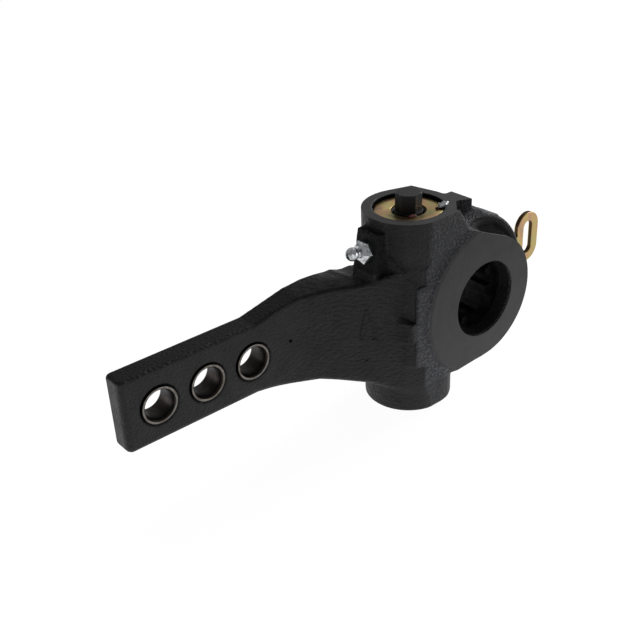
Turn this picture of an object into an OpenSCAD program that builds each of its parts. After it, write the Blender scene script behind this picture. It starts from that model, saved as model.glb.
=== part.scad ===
// Automatic slack adjuster for an S-cam drum brake.
// The origin is the centre of the camshaft bore on the machined near face.
// +Y runs along the camshaft away from that face, the arm points to -X, and the worm axis is parallel to Z.

/* [Camshaft hub] */
// Radius of the plain bore in the near face
bore_r = 20; // [19:0.5:21]
// Depth of that plain bore
bore_depth = 6.2; // [5:0.2:7]
// Radius of the machined near face
flange_r = 33; // [30:0.5:36]
// Height of the machined face over the cast flat
flange_rise = 1.5; // [1:0.25:2.5]
// Radius of the gear chamber's outer wall
hub_r = 41; // [40:0.5:46]
// Distance from the near face to the front of the gear chamber
hub_front = 11.2; // [9:0.2:13]
// How far the far face stands behind the worm tube
far_rise = 0.5; // [0.3:0.1:3]
// Radius of the hollow fillet between the near face and the chamber
scoop_r = 7; // [3:0.5:8]

/* [Worm tube] */
// Distance from the near face to the worm axis
worm_y = 23; // [22.5:0.1:25]
// Outer radius of the tube
tube_r = 22.5; // [21.5:0.1:25]
// Height of the tube's top over the camshaft axis
tube_top = 53; // [52:0.5:58]
// Depth of the tube's foot under the camshaft axis
tube_foot = 49.5; // [47:0.5:54]
// Thickness of the tube's closed foot
foot_wall = 5; // [4:0.5:7]
// Radius of the bore that the worm turns in
worm_bore_r = 14; // [13.5:0.1:14.5]
// Radius of the plug's bore
plug_r = 17; // [16.5:0.1:18]
// Depth of the plug's top below the rim
plug_recess = 1.7; // [0.5:0.1:3]

/* [Arm] */
// Distance from the camshaft axis to the nearest clevis hole
first_hole = 120; // [115:1:130]
// Distance between clevis holes
hole_pitch = 25; // [24:0.5:30]
// Distance from the last hole to the arm's end
arm_end = 18; // [16:0.5:24]
// Distance from the near face to the arm's front
arm_front = 33.5; // [32:0.25:34]
// Thickness of the arm
arm_t = 12; // [10:0.25:12.2]
// Height of the arm at its holes
arm_h = 36.5; // [32:0.5:40]
// Rounding of the arm's edges
arm_round = 2.5; // [1:0.25:3]
// Bore radius of a clevis bush
pin_r = 7; // [6:0.25:7.5]
// Wall of a clevis bush
bush_wall = 2; // [1.5:0.25:2.5]
// How far a bush stands out of the arm on each side
bush_proud = 0.4; // [0.2:0.1:1]

/* [Worm gear] */
// Tooth module of the worm wheel
gear_module = 2; // [1.9:0.05:2.05]
// Teeth on the worm wheel
wheel_teeth = 24; // [23:1:24]
// Pitch radius of the worm
worm_pitch_r = 7.5; // [7.25:0.25:8]
// Width of the wheel's toothed ring
wheel_w = 20; // [14:1:20]
// Length of the worm's thread
thread_len = 32; // [24:1:32]
// Play between meshing teeth
tooth_lash = 0.4; // [0.3:0.05:0.5]
// Splines of the camshaft
spline_count = 10; // [6:2:10]
// Major radius of the splined bore
spline_major_r = 19.15; // [18:0.05:19.5]
// Minor radius of the splined bore
spline_minor_r = 15.45; // [14:0.05:17]
// Width of a spline slot
spline_slot = 6; // [4:0.25:7]

/* [Adjusting drive] */
// Teeth on the clutch ring
pinion_teeth = 22; // [22:1:23]
// Tooth module of the clutch ring and the rack
rack_module = 1; // [0.95:0.05:1]
// Size of the adjusting hex across its flats
hex_af = 11.1; // [10:0.1:12]
// Height of the hex over the tube's rim
hex_rise = 7; // [5:0.5:12]
// Thickness of the control disc
disc_t = 3.5; // [3:0.25:4]
// Free play of the rack's lug in the disc's notch, on each side
notch_play = 1; // [0.9:0.1:1.5]

/* [Control arm and cover] */
// Thickness of the cover plate
cover_t = 3; // [2.5:0.25:4]
// Thickness of the cover gasket
gasket_t = 0.5; // [0.3:0.1:1]
// Thickness of the control arm
control_t = 3; // [2.5:0.25:4]
// Distance from the camshaft axis to the loop's centre
loop_x = 96; // [90:1:110]
// Depth of the loop's centre under the camshaft axis
loop_drop = 13.3; // [5:0.1:18]
// Width of the loop's slot
slot_w = 8; // [7:0.25:10]
// Length of the loop's slot
slot_len = 21; // [16:0.5:24]
// Width of the loop's bars
loop_bar = 5.2; // [4:0.2:7]

/* [Grease nipple] */
// Height of the nipple over the camshaft axis
nipple_z = 38.5; // [35:0.5:40]
// Upward tilt of the nipple
nipple_tilt = 10; // [0:1:15]
// Size of the nipple's hex across its flats
nipple_af = 10; // [8:0.5:11]

/* [Hidden] */
$fn = 96;

// Clearances: a running fit, a loose gap between moving pieces, and the overshoot of a cut
run_fit = 0.05;
gap = 0.3;
cut = 1;

// Tooth form
pressure_angle = 20;
dedendum = 1.25;

// Worm wheel, from its near journal to its far one
wheel_pitch_r = gear_module * wheel_teeth / 2;
wheel_tip_r = wheel_pitch_r + gear_module;
wheel_root_r = wheel_pitch_r - dedendum * gear_module;
journal_r = wheel_root_r + 0.2;
wheel_y0 = worm_y - wheel_w / 2;
seal_w = 2.5;
wheel_near = bore_depth + seal_w + gap;
land_w = 4;

// Worm, its journals and the bush at its foot
worm_x = -(wheel_pitch_r + worm_pitch_r);
worm_tip_r = worm_pitch_r + gear_module;
worm_root_r = worm_pitch_r - dedendum * gear_module;
worm_lead = PI * gear_module;
lead_angle = atan(worm_lead / (2 * PI * worm_pitch_r));
thread_end = thread_len / 2;
core_r = worm_root_r - 0.3;
upper_hub_r = 8;
shaft_r = 7;
hex_turn = 15;
bush_len = 8;
bush_r = core_r + 4;
foot_floor = -tube_foot + foot_wall;
bore_floor = foot_floor + bush_len;
washer_t = 2;
spring_r = (core_r + worm_bore_r) / 2;
spring_wire_r = 1.5;
washer_z0 = -thread_end - washer_t - 1.5;

// Rack and clutch ring
pinion_r = rack_module * pinion_teeth / 2;
rack_pitch = PI * rack_module;
rack_line = worm_y + pinion_r;
rack_root = rack_line + dedendum * rack_module;
rack_front = rack_line - rack_module;
rack_back = rack_line + 5 * rack_module;
rack_z0 = wheel_tip_r + 1.2;
rack_h = 5.8;
rack_left = worm_x - 3 * rack_pitch;
chamber_r = wheel_tip_r + 1;

// Control disc, cover and control arm
far_y = worm_y + tube_r + far_rise;
sleeve_r = journal_r + 2.5;
disc_r = wheel_tip_r + 5.5;
disc_y1 = far_y - gap;
disc_y0 = disc_y1 - disc_t;
disc_seat_r = disc_r + 0.5;
lug_z0 = sleeve_r + 1.3;
lug_mid = (lug_z0 + disc_r) / 2;
lug_w = 4;
lug_rest_angle = -5;
lug_x = lug_mid * sin(lug_rest_angle);
lug_left = lug_x - lug_w / 2;
lug_right = lug_x + lug_w / 2;
notch_floor = lug_z0 - 0.8;
back_travel = 2.4;
out_travel = 7.4;
cover_y = far_y + gasket_t;
cover_top = cover_y + cover_t;
arm_y = cover_top + 0.5;
snap_y = arm_y + control_t;
snap_t = 1.2;
snap_groove_r = sleeve_r - 1;
sleeve_end = snap_y + 2;
wheel_far = arm_y;
cover_r = hub_r - 0.5;
lip_y0 = cover_y + 0.8;
lip_y1 = cover_y + 2.2;
lip_r = sleeve_r + 1.9;
screw_count = 5;
screw_circle = (disc_seat_r + hub_r) / 2;
screw_turn = 18;
screw_r = 1.65;
screw_hole_r = screw_r + 0.2;
screw_depth = 6;
screw_head_r = 3.2;
screw_head_h = 2.2;
key_count = 3;
key_turn = 60;
key_r = 1.5;
ring_r = screw_circle - screw_head_r - 1.1;
gasket_room = 1.6;
neck_w = 14;

// Worm tube stack, from the clutch ring up to the plug
race_t = 1;
race_z0 = rack_z0 + rack_h + 1;
race_r = worm_bore_r - 1;
needle_r = 1;
needle_len = 4;
needle_count = 16;
needle_x = shaft_r + 1.3;
needle_z = race_z0 + race_t + gap + needle_r;
cage_t = 1.2;
upper_race_z0 = needle_z + needle_r + gap;
plug_z0 = upper_race_z0 + race_t;
plug_z1 = tube_top - plug_recess;
groove_z0 = plug_z0 + 2;
groove_h = 2.5;
groove_d = 2.5;
o_ring_r = 1.2;
seal_r = shaft_r + 1.55;
seal_h = 4;
seal_z0 = plug_z1 - seal_h - 1;
lock_angle = -22;
lock_depth = 4;

// Casting
front_flat = flange_rise;
flat_cut = front_flat - worm_y + tube_r;
flat_half = sqrt(tube_r * tube_r - (tube_r - flat_cut) * (tube_r - flat_cut));
face_r = hub_r - 1;
taper_x = -first_hole + 2;
pad_front = front_flat - 0.5;
pad_w = 15.5;
pad_drop = 22;
pad_h = 42.4;
tab_w = 18.7;
tab_drop = 6.3;
tab_h = 9.9;
flare_x = -93;
flare_mid_x = -66;
flare_start_top = 23.5;
flare_start_drop = 22.5;
flare_mid_top = 25.2;
flare_mid_drop = 29.5;
flare_lean = 2.4;
flare_top = 24.5;
ledge_tilt = 13;
flare_drop = 39;
flare_r = tube_r - 0.3;
slice = 0.1;
foot_r = tube_r - 0.5;
foot_start = flange_r + 1;
// Plan angle of the flare's wall, which runs from the arm's front to touch the tube
to_tube = [worm_x - flare_x, worm_y - arm_front];
wall_angle = atan2(to_tube.y, to_tube.x) - asin(flare_r / norm(to_tube));
flare_mid_front = arm_front + (flare_mid_x - flare_x) * tan(wall_angle);
boss_w = 14.5;
boss_top = tube_top - 4;
boss_foot = flare_mid_top - 2.7;
boss_face = tube_r + 5.3;
ear_y = worm_y - 16.5;
ear_w = 14.5;
ear_x = worm_x + tube_r + 5;
ear_h = 4.5;
ear_slope = 60;
ear_under = 10;
ear_root = 17;
rib_angle = 42;
rib_reach = tube_r + 3.5;
hole_r = pin_r + bush_wall;
hole_count = 3;
nipple_shank_r = 3;
nipple_shank = 7;
nipple_hex_h = 5;
nipple_neck_r = 2.2;
nipple_ball_r = 3.25;
nipple_ball_x = 8.5;

function hole_x(i) = -(first_hole + hole_pitch * i);
function involute(a) = tan(a) - a * PI / 180;
// Half of a tooth's angle at radius r on a gear of n teeth
function half_tooth(r, n, m) =
  90 / n - tooth_lash / 2 / (m * n) * 180 / PI
  + (involute(pressure_angle) - involute(acos(min(1, m * n / 2 * cos(pressure_angle) / r)))) * 180 / PI;

// Outline of an involute gear with one tooth on +X
module gear_outline(n, m, flank_points = 4) {
  root = m * n / 2 - dedendum * m;
  tip = m * n / 2 + m;
  start = max(root, m * n / 2 * cos(pressure_angle));
  radii = [for (k = [0:flank_points - 1]) start + (tip - start) * k / (flank_points - 1)];
  polygon([for (i = [0:n - 1], side = [-1, 1], k = [0:flank_points])
    let (step = side < 0 ? k : flank_points - k)
    let (r = step == 0 ? root : radii[step - 1])
    let (a = 360 * i / n + side * half_tooth(max(r, start), n, m))
    r * [cos(a), sin(a)]]);
}

// Section of a single-start worm thread, square to its axis, with the thread's middle on +X
module worm_outline(steps = 26) {
  thread_half = (worm_lead / 2 - tooth_lash / 2) / 2;
  polygon([for (i = [0:steps - 1])
    let (a = 360 * i / steps - 180)
    let (off = abs(a) / 360 * worm_lead)
    let (r = worm_pitch_r + (thread_half - off) / tan(pressure_angle))
    max(worm_root_r, min(worm_tip_r, r)) * [cos(a), sin(a)]]);
}

// A round bar along Y
module rod_y(y0, y1, r) {
  translate([0, y0, 0]) rotate([-90, 0, 0]) cylinder(h = y1 - y0, r = r);
}

// A ring along Y
module ring_y(y0, y1, outer, inner) {
  difference() {
    rod_y(y0, y1, outer);
    rod_y(y0 - cut, y1 + cut, inner);
  }
}

// A ring along the worm axis
module ring_z(z0, z1, outer, inner) {
  translate([worm_x, worm_y, z0]) difference() {
    cylinder(h = z1 - z0, r = outer);
    translate([0, 0, -cut]) cylinder(h = z1 - z0 + 2 * cut, r = inner);
  }
}

// An outline drawn in X and Z, extruded along Y
module plate_y(y0, y1) {
  translate([0, y1, 0]) rotate([90, 0, 0]) linear_extrude(y1 - y0) children();
}

// A coil spring that stands on z = 0
module coil(mean_r, wire_r, turns, height, sides = 8, steps = 14) {
  last = turns * steps;
  points = [for (i = [0:last], j = [0:sides - 1])
    let (a = 360 * i / steps, b = 360 * j / sides)
    let (r = mean_r + wire_r * cos(b))
    [r * cos(a), r * sin(a), wire_r + (height - 2 * wire_r) * i / last + wire_r * sin(b)]];
  walls = [for (i = [0:last - 1], j = [0:sides - 1])
    let (k = (j + 1) % sides)
    [i * sides + j, i * sides + k, (i + 1) * sides + k, (i + 1) * sides + j]];
  ends = [[for (j = [sides - 1:-1:0]) j], [for (j = [0:sides - 1]) last * sides + j]];
  polyhedron(points, concat(walls, ends), convexity = 10);
}

// Rounded corners of a block's section at one X, to hull between; back_drop lowers its top at the back
module section_corners(x, y0, y1, z0, z1, r, back_drop = 0) {
  for (corner = [[y0 + r, z0 + r], [y1 - r, z0 + r], [y0 + r, z1 - r], [y1 - r, z1 - r - back_drop]])
    translate([x, corner.x, corner.y]) rotate([0, 90, 0]) cylinder(h = slice, r = r, $fn = 24);
}

// The flat arm: round at its end, tapering up to the flare and the flare running up to the tube
module arm_casting() {
  end_x = -(first_hole + hole_pitch * (hole_count - 1) + arm_end);
  back = arm_front + arm_t;
  hull() {
    for (y = [arm_front + arm_round, back - arm_round], z = [-1, 1])
      translate([end_x + arm_round, y, z * (arm_h / 2 - arm_round)]) sphere(r = arm_round, $fn = 24);
    section_corners(taper_x, arm_front, back, -arm_h / 2, arm_h / 2, arm_round);
  }
  hull() {
    section_corners(taper_x, arm_front, back, -arm_h / 2, arm_h / 2, arm_round);
    section_corners(flare_x, arm_front, back, -flare_start_drop, flare_start_top, arm_round);
  }
  hull() {
    section_corners(flare_x, arm_front, back, -flare_start_drop, flare_start_top, arm_round);
    flare_middle(back);
  }
  hull() {
    flare_middle(back);
    translate([worm_x, worm_y, -flare_drop]) cylinder(h = flare_drop, r = flare_r, $fn = 64);
    translate([worm_x, worm_y, flare_top]) rotate([-ledge_tilt, 0, 0])
      cylinder(h = slice, r = flare_r, $fn = 64);
  }
}

// Section of the flare half way to the tube
module flare_middle(back) {
  section_corners(flare_mid_x, flare_mid_front, back, -flare_mid_drop, flare_mid_top, arm_round, flare_lean);
}

// Front web between the tube and the near face, with its sloping top edge and foot
module web_outline() {
  knee = [worm_x + tube_r - 1.7, flange_r + 7.6];
  knee_angle = atan2(knee.y, knee.x);
  touch = knee_angle - acos(flange_r / norm(knee));
  left = worm_x - flat_half;
  polygon([[left, tube_top], [worm_x + tube_r - 10, tube_top], knee,
    flange_r * [cos(touch), sin(touch)], [0, 0], [0, -flange_r], [left, -foot_start - 1]]);
}

// Half section of the camshaft hub: near face, hollow fillet and gear chamber
module hub_section() {
  difference() {
    union() {
      square([flange_r, hub_front + cut]);
      translate([0, hub_front]) square([hub_r, far_y - hub_front]);
      translate([0, hub_front - scoop_r]) square([flange_r + scoop_r, scoop_r + cut]);
    }
    translate([flange_r + scoop_r, hub_front - scoop_r]) circle(r = scoop_r);
  }
}

// Boss that carries the grease nipple, with its slanting face
module nipple_boss() {
  translate([worm_x, worm_y - boss_w / 2, 0]) plate_y(0, boss_w) polygon([
    [0, boss_top],
    [-boss_face + (boss_top - nipple_z) * tan(nipple_tilt), boss_top],
    [-boss_face - (nipple_z - boss_foot) * tan(nipple_tilt), boss_foot],
    [0, boss_foot]]);
}

// Ear at the top of the tube, and the web that slopes from it down to the hub
module ear() {
  touch = hub_r * [cos(ear_slope), sin(ear_slope)];
  meet = [ear_x, touch.y + (touch.x - ear_x) / tan(ear_slope)];
  translate([0, ear_y, 0]) plate_y(0, ear_w) polygon([
    [worm_x, tube_top], [ear_x, tube_top], [ear_x, tube_top - ear_h],
    [worm_x + tube_r, tube_top - ear_under], [worm_x, tube_top - ear_root]]);
  plate_y(hub_front, ear_y + ear_w) polygon([[worm_x, meet.y], meet, touch, [0, 0]]);
}

// Length of tube with the flat on its front
module tube_length(z0, z1, r) {
  translate([worm_x, worm_y, z0]) intersection() {
    cylinder(h = z1 - z0, r = r);
    translate([-2 * r, flat_cut - r, 0]) cube([4 * r, 3 * r, z1 - z0]);
  }
}

// Cast body before machining
module casting() {
  tube_length(-foot_start, tube_top, tube_r);
  tube_length(-tube_foot, 0, foot_r);
  plate_y(front_flat, worm_y) web_outline();
  // Machined near face on the web
  plate_y(0, worm_y) intersection() {
    web_outline();
    circle(r = face_r);
  }
  rotate([-90, 0, 0]) rotate_extrude() hub_section();
  arm_casting();
  nipple_boss();
  ear();
  // Raised pad beside the near face, with its tab
  translate([worm_x - pad_w, pad_front, -pad_drop]) cube([pad_w, worm_y - pad_front, pad_h]);
  translate([worm_x - tab_w, pad_front + gap, -tab_drop]) cube([tab_w, worm_y - pad_front, tab_h]);
  // Corner rib at the back of the tube, whose sides run into the tube
  rib_half = acos(tube_r / rib_reach) + 5;
  translate([worm_x, worm_y, 0]) linear_extrude(tube_top) polygon([[0, 0],
    (tube_r - 1) * [cos(rib_angle + rib_half), sin(rib_angle + rib_half)],
    rib_reach * [cos(rib_angle), sin(rib_angle)],
    (tube_r - 1) * [cos(rib_angle - rib_half), sin(rib_angle - rib_half)]]);
}

module on_lock_pin() {
  translate([worm_x + plug_r * cos(lock_angle), worm_y + plug_r * sin(lock_angle), plug_z1 - lock_depth])
    children();
}

module lock_pin_hole() {
  on_lock_pin() cylinder(h = lock_depth + plug_recess + cut, r = key_r, $fn = 32);
}

// Nipple axis: z runs out of the boss
module on_nipple_axis() {
  translate([worm_x - boss_face, worm_y, nipple_z]) rotate([0, nipple_tilt - 90, 0]) children();
}

// Places along the cover screws and the control arm's keys
module at_screws() {
  for (i = [0:screw_count - 1])
    rotate([0, -screw_turn - 360 / screw_count * i, 0]) translate([screw_circle, 0, 0]) children();
}

module at_keys() {
  for (i = [0:key_count - 1])
    rotate([0, key_turn + 360 / key_count * i, 0]) translate([sleeve_r, 0, 0]) children();
}

// Space that the rack and its lug sweep
module rack_space() {
  sweep = back_travel + out_travel + 2 * gap;
  translate([rack_left - back_travel - gap, rack_front - gap, rack_z0 - gap])
    cube([lug_right - rack_left + sweep, rack_back - rack_front + 2 * gap, rack_h + 2 * gap]);
  translate([lug_left - back_travel - gap, rack_back - cut - gap, lug_z0 - gap])
    cube([lug_w + sweep, far_y - rack_back + 2 * cut + gap, rack_z0 + rack_h + 2 * gap - lug_z0]);
}

module housing() {
  color("#1b1b1c") difference() {
    casting();
    // Camshaft bore, seal seat, gear chamber and disc seat
    rod_y(-cut, bore_depth + cut, bore_r);
    rod_y(bore_depth, wheel_y0, journal_r + run_fit);
    rod_y(wheel_y0 - gap, disc_y0, chamber_r);
    rod_y(disc_y0 - gap, far_y + cut, disc_seat_r);
    // Worm bore, lower bush seat and plug bore
    translate([worm_x, worm_y, bore_floor]) cylinder(h = tube_top - bore_floor, r = worm_bore_r);
    translate([worm_x, worm_y, foot_floor]) cylinder(h = tube_foot, r = bush_r);
    translate([worm_x, worm_y, plug_z0]) cylinder(h = tube_top, r = plug_r);
    rack_space();
    // Clevis holes, screw holes, nipple hole and lock pin hole
    for (i = [0:hole_count - 1])
      translate([hole_x(i), 0, 0]) rod_y(arm_front - cut, arm_front + arm_t + cut, hole_r);
    at_screws() rod_y(far_y - screw_depth, far_y + cut, screw_r);
    on_nipple_axis() translate([0, 0, -nipple_shank - cut])
      cylinder(h = nipple_shank + 2 * cut, r = nipple_shank_r, $fn = 32);
    lock_pin_hole();
  }
}

module clevis_bush(i) {
  color("#8d8676") translate([hole_x(i), 0, 0])
    ring_y(arm_front - bush_proud, arm_front + arm_t + bush_proud, hole_r, pin_r);
}

module clevis_bush_1() {
  clevis_bush(0);
}

module clevis_bush_2() {
  clevis_bush(1);
}

module clevis_bush_3() {
  clevis_bush(2);
}

// Nipple: screwed shank, hex, neck and ball
module grease_nipple() {
  color("#c8ccd0") on_nipple_axis() {
    translate([0, 0, -nipple_shank]) cylinder(h = nipple_shank, r = nipple_shank_r, $fn = 32);
    intersection() {
      rotate([0, 0, 30]) cylinder(h = nipple_hex_h, r = nipple_af / sqrt(3), $fn = 6);
      cylinder(h = nipple_hex_h, r1 = nipple_af * 0.62, r2 = nipple_af * 0.44, $fn = 48);
    }
    cylinder(h = nipple_ball_x, r = nipple_neck_r, $fn = 32);
    translate([0, 0, nipple_ball_x]) sphere(r = nipple_ball_r, $fn = 32);
  }
}

module end_plug() {
  color("#b9a256") difference() {
    translate([worm_x, worm_y, plug_z0]) cylinder(h = plug_z1 - plug_z0, r = plug_r - run_fit);
    translate([worm_x, worm_y, plug_z0 - cut]) cylinder(h = plug_z1, r = shaft_r + run_fit);
    translate([worm_x, worm_y, seal_z0]) cylinder(h = plug_z1, r = seal_r);
    ring_z(groove_z0, groove_z0 + groove_h, plug_r + cut, plug_r - groove_d);
    lock_pin_hole();
  }
}

module plug_o_ring() {
  color("#161616") translate([worm_x, worm_y, groove_z0 + groove_h / 2]) rotate_extrude()
    translate([plug_r - run_fit - o_ring_r, 0]) circle(r = o_ring_r, $fn = 32);
}

module plug_lock_pin() {
  color("#b8bcc0") on_lock_pin() cylinder(h = lock_depth + 0.4, r = key_r, $fn = 32);
}

// Lip seal: a ring with a thinner lip
module shaft_seal() {
  color("#141414") translate([worm_x, worm_y, seal_z0]) rotate_extrude() polygon([
    [shaft_r + run_fit, seal_h / 4], [shaft_r + 0.7, 0], [seal_r, 0],
    [seal_r, seal_h], [shaft_r + 0.9, seal_h], [shaft_r + run_fit, seal_h * 0.55]]);
}

module thrust_race_upper() {
  color("#9fa3a6") ring_z(upper_race_z0, upper_race_z0 + race_t, race_r, shaft_r + gap);
}

module thrust_race_lower() {
  color("#9fa3a6") ring_z(race_z0, race_z0 + race_t, race_r, shaft_r + run_fit);
}

module at_needles() {
  translate([worm_x, worm_y, needle_z]) for (i = [0:needle_count - 1])
    rotate([0, 0, 360 / needle_count * i]) translate([needle_x, 0, 0]) children();
}

module needle_cage() {
  play = 0.1;
  color("#b08d4c") difference() {
    ring_z(needle_z - cage_t / 2, needle_z + cage_t / 2, race_r, shaft_r + gap);
    at_needles() translate([-play, -needle_r - play, -cage_t])
      cube([needle_len + 2 * play, 2 * (needle_r + play), 2 * cage_t]);
  }
}

module needle_rollers() {
  color("#c3c6c8") at_needles() rotate([0, 90, 0]) cylinder(h = needle_len, r = needle_r, $fn = 24);
}

module lower_bush() {
  color("#a5824a") ring_z(foot_floor, bore_floor, bush_r, core_r + run_fit);
}

module spring_washer() {
  color("#85888a") ring_z(washer_z0, washer_z0 + washer_t, spring_r + spring_wire_r + gap, core_r + gap);
}

module worm_spring() {
  color("#4a4d50") translate([worm_x, worm_y, bore_floor])
    coil(mean_r = spring_r, wire_r = spring_wire_r, turns = 4, height = washer_z0 - bore_floor);
}

module near_seal() {
  color("#121212") ring_y(bore_depth, bore_depth + seal_w, journal_r, bore_r - 0.2);
}

// Worm: core with its lower journal, thread, clutch hub, upper journal and hex
module worm_shaft() {
  turns = thread_len / worm_lead;
  slices = ceil(20 * turns);
  hex_h = hex_rise + plug_recess;
  color("#3a3b3d") translate([worm_x, worm_y, 0]) {
    translate([0, 0, foot_floor + gap]) cylinder(h = race_z0 - foot_floor - gap, r = core_r);
    translate([0, 0, -thread_end]) rotate([0, 0, -180 * turns])
      linear_extrude(height = thread_len, twist = -360 * turns, slices = slices, $fn = 24) worm_outline();
    translate([0, 0, thread_end]) cylinder(h = race_z0 - thread_end, r = upper_hub_r);
    translate([0, 0, race_z0]) cylinder(h = plug_z1 - race_z0, r = shaft_r);
    translate([0, 0, plug_z1]) intersection() {
      rotate([0, 0, hex_turn]) cylinder(h = hex_h, r = hex_af / sqrt(3), $fn = 6);
      cylinder(h = hex_h, r1 = hex_af, r2 = hex_af * 0.52);
    }
  }
}

// Worm wheel: helical toothed ring, two journals and the splined bore
module worm_wheel() {
  helix = wheel_w * tan(lead_angle) / wheel_pitch_r * 180 / PI;
  color("#6f7376") difference() {
    union() {
      rod_y(wheel_near, wheel_far, journal_r);
      translate([0, wheel_y0, 0]) rotate([-90, 0, 0]) rotate([0, 0, 180 / wheel_teeth - helix / 2])
        linear_extrude(height = wheel_w, twist = -helix, slices = 6) gear_outline(wheel_teeth, gear_module);
    }
    rod_y(wheel_near - cut, wheel_far + cut, spline_minor_r);
    rod_y(wheel_near - cut, wheel_near + land_w, spline_major_r);
    rod_y(wheel_far - land_w, wheel_far + cut, spline_major_r);
    intersection() {
      rod_y(wheel_near, wheel_far, spline_major_r);
      for (i = [0:spline_count - 1]) rotate([0, 360 / spline_count * i, 0])
        translate([0, wheel_near, -spline_slot / 2])
          cube([spline_major_r + cut, wheel_far - wheel_near, spline_slot]);
    }
  }
}

module clutch_ring() {
  color("#7c7f82") translate([worm_x, worm_y, rack_z0]) difference() {
    rotate([0, 0, 90 + 180 / pinion_teeth]) linear_extrude(rack_h) gear_outline(pinion_teeth, rack_module);
    translate([0, 0, -cut]) cylinder(h = rack_h + 2 * cut, r = upper_hub_r + run_fit);
  }
}

module one_way_spring() {
  start = thread_end + 1.5;
  color("#54575a") translate([worm_x, worm_y, start])
    coil(mean_r = upper_hub_r + 1.3, wire_r = 0.8, turns = 5, height = rack_z0 - gap - start, sides = 6);
}

// Rack: teeth towards the clutch ring, and a lug that stands in the control disc's notch
module rack() {
  half = rack_pitch / 4 - tooth_lash / 4;
  narrow = half - rack_module * tan(pressure_angle);
  wide = half + dedendum * rack_module * tan(pressure_angle);
  color("#75797c") {
    translate([0, 0, rack_z0]) linear_extrude(rack_h) {
      translate([rack_left, rack_root]) square([lug_right - rack_left, rack_back - rack_root]);
      for (i = [-2:3]) translate([worm_x + i * rack_pitch, 0]) polygon([
        [-narrow, rack_front], [narrow, rack_front], [wide, rack_root], [-wide, rack_root]]);
    }
    translate([lug_left, rack_back - cut, lug_z0])
      cube([lug_w, disc_y1 - rack_back + cut, rack_z0 + rack_h - lug_z0]);
  }
}

// Control disc with its notch, and the sleeve that carries the control arm
module control_disc() {
  color("#8a8d90") difference() {
    union() {
      rod_y(disc_y0, disc_y1, disc_r);
      rod_y(disc_y0, sleeve_end, sleeve_r);
    }
    rod_y(disc_y0 - cut, sleeve_end + cut, journal_r + run_fit);
    rotate([0, lug_rest_angle, 0]) translate([-lug_w / 2 - notch_play, disc_y0 - cut, notch_floor])
      cube([lug_w + 2 * notch_play, disc_t + 2 * cut, disc_r]);
    ring_y(snap_y, snap_y + snap_t, sleeve_r + cut, snap_groove_r);
    at_keys() rod_y(arm_y, snap_y, key_r);
  }
}

// Slotted loop and neck of the control arm, drawn in X and Z
module control_outline() {
  loop_half = slot_w / 2 + loop_bar;
  reach = slot_len / 2 - slot_w / 2;
  neck_end = [loop_x, -loop_drop - reach];
  difference() {
    union() {
      circle(r = ring_r);
      rotate(atan2(neck_end.y, neck_end.x)) translate([0, -neck_w / 2])
        square([norm(neck_end), neck_w]);
      translate([loop_x, -loop_drop]) {
        translate([-loop_half, -reach]) square([2 * loop_half, 2 * reach]);
        for (s = [-1, 1]) translate([0, s * reach]) circle(r = loop_half);
      }
    }
    translate([loop_x, -loop_drop]) {
      translate([-slot_w / 2, -reach]) square([slot_w, 2 * reach]);
      for (s = [-1, 1]) translate([0, s * reach]) circle(r = slot_w / 2);
    }
  }
}

module control_arm() {
  color("#c0a552") difference() {
    plate_y(arm_y, snap_y) control_outline();
    rod_y(arm_y - cut, snap_y + cut, sleeve_r);
    at_keys() rod_y(arm_y - cut, snap_y + cut, key_r);
  }
}

module arm_keys() {
  color("#9a9da0") at_keys() rod_y(arm_y, snap_y, key_r);
}

module arm_snap_ring() {
  slit = 6;
  color("#5b5e61") difference() {
    ring_y(snap_y, snap_y + snap_t, sleeve_r + 1.5, snap_groove_r);
    translate([-slit / 2, snap_y - cut, 0]) cube([slit, snap_t + 2 * cut, sleeve_r + slit]);
  }
}

module cover_plate() {
  color("#1d1d1e") difference() {
    rod_y(cover_y, cover_top, cover_r);
    rod_y(cover_y - cut, cover_top + cut, sleeve_r + run_fit);
    ring_y(lip_y0, lip_y1, lip_r, sleeve_r);
    at_screws() rod_y(cover_y - cut, cover_top + cut, screw_hole_r);
  }
}

module cover_gasket() {
  color("#2b2f2a") difference() {
    ring_y(far_y, cover_y, cover_r, disc_seat_r + gasket_room);
    at_screws() rod_y(far_y - cut, cover_y + cut, screw_hole_r);
  }
}

module cover_seal() {
  color("#151515") ring_y(lip_y0, lip_y1, lip_r, sleeve_r + run_fit);
}

module cover_screws() {
  color("#a8abad") at_screws() {
    rod_y(far_y - screw_depth + gap, cover_top, screw_r);
    rod_y(cover_top, cover_top + screw_head_h, screw_head_r);
  }
}

housing();
clevis_bush_1();
clevis_bush_2();
clevis_bush_3();
grease_nipple();
end_plug();
plug_o_ring();
plug_lock_pin();
shaft_seal();
thrust_race_upper();
needle_cage();
needle_rollers();
lower_bush();
worm_spring();
spring_washer();
near_seal();
cover_plate();
cover_gasket();
cover_screws();
cover_seal();
worm_shaft();
thrust_race_lower();
worm_wheel();
clutch_ring();
one_way_spring();
rack();
control_disc();
control_arm();
arm_keys();
arm_snap_ring();
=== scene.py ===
"""Looks of an automatic brake slack adjuster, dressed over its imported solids.

Lengths are in millimetres in the frame of the part: the origin is the centre of the camshaft bore on the
near face, +Y runs along the camshaft away from that face, and the arm points to -X.
"""

import logging
import math
from dataclasses import dataclass
from enum import Enum
from typing import Any, Callable, NamedTuple, Optional, Sequence, Union

import bpy
import numpy as np
from mathutils import Matrix, Vector


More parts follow.
